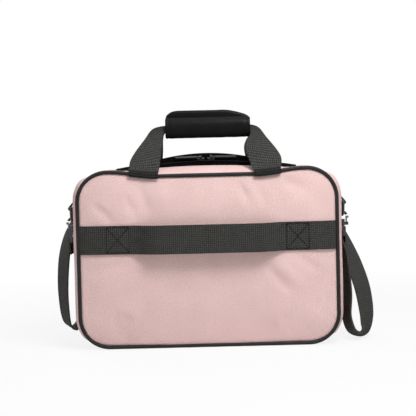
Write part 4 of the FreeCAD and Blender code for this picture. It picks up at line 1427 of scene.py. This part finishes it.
def tab_place(side):
    """Webbing that goes down the gusset, round the ring's bar and up again."""
    radius = RING_BAR + TAB_CLOTH
    turns = [math.radians(degrees) for degrees in TAB_TURN]
    round_bar = [Vector((ring_x + radius * math.cos(turn), ring_bar_z + radius * math.sin(turn)))
                 for turn in turns]
    path = tab_layer(TAB_DOWN) + round_bar + tab_layer(TAB_UP)

    def place(along, across):
        spot = curve_through(path, along / TAB_LENGTH)
        return Vector((side * spot.x, (across - TAB_WIDTH / 2) * side, spot.y))
    return place


tab_box = (TAB_LENGTH - TAB_SEWN, SEW_MARGIN, TAB_SEWN - SEW_MARGIN, TAB_WIDTH - 2 * SEW_MARGIN)
for name, side in SIDES:
    tab = laid(f"ring_tab_{name}", tab_place(side), TAB_LENGTH, TAB_WIDTH, TAB_STEP)
    thicken(tab, TAB_CLOTH, 0.0)
    close_up(tab)
    rounded_shade(tab, 50)
    dress(tab, finishes["webbing"], "bag", "webbing", f"d_tab_{name}")
    sew(f"ring_tab_stitches_{name}", tab_place(side), box_stitch(*tab_box), -TAB_CLOTH / 2)

# %% Loops of the strap
# How far each loop stands out from the case's side, and the height of its lowest point
RIGHT_LOOP = (37 * mm, 6.0 * mm)
LEFT_LOOP = (24 * mm, 21 * mm)
# Points of the loops: shares of the stand-out, of the half depth and of the height, and a width direction
RIGHT_DOWN = (
    (0.2, 0, 0.91, 0, 1, 0), (0.19, -0.05, 0.75, -0.28, 0.96, 0), (0.25, -0.21, 0.42, -0.34, 0.94, 0),
    (0.26, -0.32, 0.19, -0.22, 0.97, 0), (0.4, -0.4, 0.05, -0.16, 0.95, -0.2),
    (0.68, -0.43, 0, 0.1, 0.96, -0.28))
RIGHT_UP = (
    (0.92, -0.4, 0.04, 0.42, 0.88, -0.2), (1.0, -0.3, 0.16, 0.56, 0.83, 0),
    (0.905, -0.11, 0.34, 0.62, 0.78, -0.02), (0.66, 0.21, 0.53, 0.66, 0.74, -0.1),
    (0.4, 0.58, 0.715, 0.55, 0.76, -0.3), (0.23, 0.83, 0.85, 0.3, 0.74, -0.58),
    (0.135, 1.02, 0.93, 0.04, 0.5, -0.86))
LEFT_DOWN = (
    (0.24, 0, 0.9, 0, 1, 0), (0.11, 0.02, 0.69, 0, 1, 0), (0.11, 0.05, 0.33, 0, 1, 0),
    (0.15, 0.03, 0.15, 0.05, 1, 0), (0.29, 0, 0.03, 0.2, 0.97, 0), (0.54, -0.05, 0, 0.32, 0.94, 0.05))
LEFT_UP = (
    (0.81, -0.08, 0.05, 0.38, 0.92, 0.03), (0.94, -0.08, 0.17, 0.42, 0.9, 0),
    (1.0, -0.03, 0.33, 0.44, 0.89, -0.02), (1.0, 0.19, 0.52, 0.46, 0.88, -0.12),
    (0.94, 0.6, 0.715, 0.44, 0.84, -0.3), (0.68, 0.86, 0.875, 0.32, 0.78, -0.55),
    (0.27, 1.02, 0.96, 0.06, 0.5, -0.86))
# The sewn end over the hook's bar, in millimetres from the bar: out and up
EYE_FOLD = ((1.6, -19), (2.2, -12), (2.8, -5), (2.9, 0.6), (1.6, 2.6), (-0.4, 3.1), (-2.4, 1.8), (-2.6, -3.5))
EYE_BAR = 2 * mm
STRAP_CORNER_ROUND = 9 * mm
STRAP_EDGE_LIFT = 44.1 * mm
STRAP_MIDDLE_Z = 165 * mm
STRAP_LEVEL_RUN = 60 * mm
STRAP_FRONT_Y = 79.2 * mm
eye_bar_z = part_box("snap_hook_right")[0].z + EYE_BAR
strap_edge_z = eye_bar_z + STRAP_EDGE_LIFT


def eye_fold():
    """The strap's sewn end: up from its tail, over the hook's bar and down on the case's side."""
    return [(Vector((ring_x + x * mm, 0, eye_bar_z + z * mm)), Vector((0, 1, 0))) for x, z in EYE_FOLD]


def loop_rows(loop, down_rows, up_rows):
    """A hanging loop as (centre, width direction), down from its hook and up to the front corner."""
    out, low = loop
    bottom = low + WEB_THICK / 2
    rows = []
    for part, top in ((down_rows, eye_bar_z), (up_rows, strap_edge_z)):
        for out_share, depth_share, height_share, *width in part:
            height = bottom + height_share * (top - bottom)
            centre = Vector((side_x + out_share * out, depth_share * half_depth, height))
            rows.append((centre, Vector(width)))
    return rows


print("hook's bar at", round(eye_bar_z, 4), "m, strap's corner at", round(strap_edge_z, 4), "m")

# %% Route of the strap
ROUTE_SAMPLES = 900
strap_fall = strap_edge_z - STRAP_MIDDLE_Z
strap_slope_run = half_width - STRAP_LEVEL_RUN
# Round the front corner and down to the front's level middle, each row a centre and a width direction
FRONT_ROWS = (
    (side_x + WEB_THICK, STRAP_FRONT_Y - STRAP_CORNER_ROUND, strap_edge_z - 0.13 * strap_fall, 0, 0.2, -0.98),
    (half_width - WEB_THICK, STRAP_FRONT_Y - WEB_THICK / 2, strap_edge_z, 0, 0, -1),
    (half_width - 1.8 * STRAP_CORNER_ROUND, STRAP_FRONT_Y, strap_edge_z - 0.09 * strap_fall, -0.1, 0, -0.99),
    (half_width - 0.41 * strap_slope_run, STRAP_FRONT_Y, strap_edge_z - 0.39 * strap_fall, -0.22, 0, -0.97),
    (half_width - 0.74 * strap_slope_run, STRAP_FRONT_Y, strap_edge_z - 0.83 * strap_fall, -0.16, 0, -0.98),
    (STRAP_LEVEL_RUN, STRAP_FRONT_Y, STRAP_MIDDLE_Z, 0, 0, -1),
    (0.33 * STRAP_LEVEL_RUN, STRAP_FRONT_Y, STRAP_MIDDLE_Z, 0, 0, -1),
)


def half_route(*loop):
    """Half of the strap as (centre, width direction), from its hook to the front's middle."""
    return eye_fold() + loop_rows(*loop) + [(Vector(row[:3]), Vector(row[3:])) for row in FRONT_ROWS]


def mirrored(route):
    """The same route on the case's other side."""
    return [(centre * Vector((-1, 1, 1)), width * Vector((-1, 1, 1))) for centre, width in route]


right_route = half_route(RIGHT_LOOP, RIGHT_DOWN, RIGHT_UP)
left_route = mirrored(half_route(LEFT_LOOP, LEFT_DOWN, LEFT_UP))
route = right_route + left_route[::-1]
centres = [centre for centre, width in route]
widths = [width for centre, width in route]
samples = [curve_through(centres, index / ROUTE_SAMPLES) for index in range(ROUTE_SAMPLES + 1)]
marks = [0.0]
for first, second in zip(samples, samples[1:]):
    marks.append(marks[-1] + (second - first).length)
strap_length = marks[-1]
print("shoulder strap", round(strap_length, 3), "m long")

# %% Shoulder strap
SHARE_NUDGE = 0.001


def strap_share(along):
    """The share of the route at a length along the strap."""
    index = min(max(bisect_right(marks, along) - 1, 0), ROUTE_SAMPLES - 1)
    part = (along - marks[index]) / max(marks[index + 1] - marks[index], 1e-9)
    return (index + part) / ROUTE_SAMPLES


def shoulder_place(along, across):
    """A point of the strap: its centre, moved across in the width direction square to its run."""
    share = strap_share(along)
    run = curve_through(centres, share + SHARE_NUDGE) - curve_through(centres, share - SHARE_NUDGE)
    run.normalize()
    width = curve_through(widths, share)
    width = (width - run * width.dot(run)).normalized()
    return curve_through(centres, share) + width * (across - WEB_WIDTH / 2)


shoulder = laid("shoulder_webbing", shoulder_place, strap_length, WEB_WIDTH, WEB_STEP)
thicken(shoulder, WEB_THICK, 0.0)
rounded_shade(shoulder, 50)
dress(shoulder, finishes["webbing"], "bag", "webbing", "shoulder_strap")

# %% Stitches of the strap's ends
END_SEWN = 13 * mm
end_lines = []
for left in (SEW_MARGIN, strap_length - SEW_MARGIN - END_SEWN):
    end_lines += box_stitch(left, SEW_MARGIN, END_SEWN, WEB_WIDTH - 2 * SEW_MARGIN)
sew("shoulder_stitches", shoulder_place, end_lines, -WEB_THICK / 2)

# %% [markdown]
# ## Inside
# The lining shows only when the top is opened: a thin tub of cloth with soft walls. It is cut as a real one
# is, a band for the sides and floor and two walls, because one sheet can't go round the corners without
# stretching its weave. The base board under it keeps its own shape.

# %% Lining band
LINING_STEP = 5 * mm
LINING_WALL = 0.8 * mm
BAND_CORNER = 0.58
BAND_SWAY = (40 * mm, 1.4 * mm, 21.0)
lining_low, lining_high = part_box("lining")
band_start = straight_x + corner_run * (1 - BAND_CORNER)
band_run = 2 * (corner_run * BAND_CORNER + side_run + corner_run) + 2 * straight_x


def band_place(along, across):
    """The sides and floor of the lining, as one band from top to top."""
    point, out = on_outline(band_start + along, half_width - lining_high.x)
    point.y = lining_high.y - across
    return point - out * abs(ruffle(point, BAND_SWAY))


def line_with(piece, flat, *nodes):
    """Give a piece of the lining its wall and dress it."""
    area = min(sum(face.area for face in piece.data.polygons), flat[0] * flat[1])
    thicken(piece, LINING_WALL, 0.0)
    rounded_shade(piece)
    dress(piece, finishes["lining_cloth"], "bag", "lining_cloth", *nodes)


band_size = (band_run, 2 * lining_high.y)
line_with(laid("lining_band", band_place, *band_size, LINING_STEP), band_size, "lining")

# %% Lining walls
WALL_SWAY = (60 * mm, 1.6 * mm, 31.0)


def wall_place(sign):
    """A wall of the lining, with its corners drawn in to the case's outline."""
    half_x = lining_high.x
    low = lining_low.z
    radius = CORNER_RADIUS - (half_width - half_x)

    def place(along, across):
        x = (along - half_x) * sign
        z = low + across
        past_x, past_z = abs(x) - (half_x - radius), low + radius - z
        if past_x > 0 and past_z > 0:
            round_x, round_z = rounded_corner(past_x, past_z, radius)
            x = math.copysign(half_x - radius + round_x, x)
            z = low + radius - round_z
        over = z - (panel_height - CORNER_RADIUS)
        if past_x > 0 and over > 0:
            reach = half_x - radius + math.sqrt(max(radius ** 2 - over ** 2, 0.0))
            x = math.copysign(min(abs(x), reach), x)
        return Vector((x, -sign * (lining_high.y - abs(ruffle(Vector((x, sign, z)), WALL_SWAY))), z))
    return place


wall_size = (2 * lining_high.x, lining_high.z - lining_low.z)
for name, sign in FACES:
    line_with(laid(f"lining_wall_{name}", wall_place(sign), *wall_size, LINING_STEP), wall_size)

# %% [markdown]
# ## Hard fittings
# Sliders, pulls, rings, hooks, bolts, the adjuster and the base board are already right in the frame. They
# could be modelled again with more detail, but their solids have it, so they keep their shapes and take a
# finish.

# %% Fittings
fitting_finish = {
    "black_plastic": ["strap_adjuster"],
    "dark_metal": ["zip_slider_right", "zip_slider_left", "zip_pull_right", "zip_pull_left"],
    "hook_metal": ["d_ring_right", "d_ring_left", "snap_hook_right", "snap_hook_left"],
    "bright_metal": ["hook_bolt_right", "hook_bolt_left"],
    "board": ["base_board"],
}
for finish, names in fitting_finish.items():
    for name in names:
        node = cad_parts[name]
        node.data.materials.clear()
        node.data.materials.append(finishes[finish])
    print(finish, "on", ", ".join(names))

# %% [markdown]
# ## Floor and light
# A pale floor and broad soft lamps, as in a studio: a lamp above and to the right, a weaker one to the
# left, one overhead and one behind, and an even sky so that the cloth's own colour is what the picture
# shows. More light would whiten the background too, but it would bleach the cloth, so floor and sky look
# white only to the eye.

# %% Floor
FLOOR_SIZE = 30
FLOOR_Z = -0.2 * mm
FLOOR_GREY = (0.75, 0.75, 0.75, 1)
FLOOR_WHITE = 0.85
WHITE = (1, 1, 1, 1)
FADE_FROM = 0.35
FADE_TO = 1.1


def seen_directly(start):
    """1 where the camera, a mirror or glass looks straight at a surface, 0 for the light that it sends on."""
    kinds = ("Camera", "Glossy", "Transmission")
    rays = [start.node("ShaderNodeLightPath", out=f"Is {kind} Ray") for kind in kinds]
    return rays[0].most(rays[1]).most(rays[2])


def floor_finish():
    """A pale floor that looks white where nothing stands on it and still takes a soft shadow."""
    material, start, shader = new_finish(
        "floor", Roughness=0.9, Base_Color=FLOOR_GREY, Specular_IOR_Level=0.1)
    white = start.node("ShaderNodeEmission", inputs={"Color": WHITE, "Strength": 1.0})
    matte = Socket(start.tree, shader.outputs[0])
    away = start.node("ShaderNodeVectorMath", {"operation": "LENGTH"}, {0: own_metres(start)}, out="Value")
    share = seen_directly(start) * away.fade(FADE_FROM, FADE_TO, FLOOR_WHITE, 1.0)
    mixed = start.node("ShaderNodeMixShader", inputs={0: share, 1: matte, 2: white})
    start.tree.links.new(mixed.output, start.tree.nodes["Material Output"].inputs[0])
    return material


bpy.ops.object.select_all(action="DESELECT")
bpy.ops.mesh.primitive_plane_add(size=FLOOR_SIZE, location=(0, 0, FLOOR_Z))
floor = bpy.context.object
floor.name = "floor"
floor.data.materials.append(floor_finish())
print("floor", FLOOR_SIZE, "m wide")

# %% Lamps
# Each lamp's name, place, the point that it faces, its size and its power
LAMPS = (
    ("key_lamp", (0.34, -0.62, 1.0), (0, 0, 0.22), 0.5, 9.3),
    ("fill_lamp", (-1.0, -1.5, 1.0), (0, 0, 0.18), 1.2, 1.5),
    ("top_lamp", (0.1, -0.3, 1.9), (0, 0, 0.2), 1.0, 4),
    ("far_lamp", (-0.7, 1.3, 1.1), (0, 0, 0.12), 1.0, 8),
)
for name, place, target, size, power in LAMPS:
    bpy.ops.object.select_all(action="DESELECT")
    bpy.ops.object.light_add(type="AREA", location=place)
    lamp = bpy.context.object
    lamp.name = name
    lamp.data.shape = "DISK"
    lamp.data.size = size
    lamp.data.energy = power
    lamp.rotation_mode = "QUATERNION"
    lamp.rotation_quaternion = (Vector(target) - Vector(place)).to_track_quat("-Z", "Y")
    print(name, power, "W")

# %% Sky
SKY_STRENGTH = 0.36
world = bpy.data.worlds.new("studio")
bpy.context.scene.world = world
world.use_nodes = True
start = Socket(world.node_tree)
strength = seen_directly(start) * (1 - SKY_STRENGTH) + SKY_STRENGTH
sky = start.node("ShaderNodeBackground", inputs={"Color": WHITE, "Strength": strength})
world.node_tree.links.new(sky.output, world.node_tree.nodes["World Output"].inputs[0])
bpy.context.scene.view_settings.view_transform = "Standard"
print("sky", SKY_STRENGTH, "on the case, and white to the eye")

# %% [markdown]
# ## The end
# The view layer is updated once more after the last piece.

# %% Finish
bpy.context.view_layer.update()
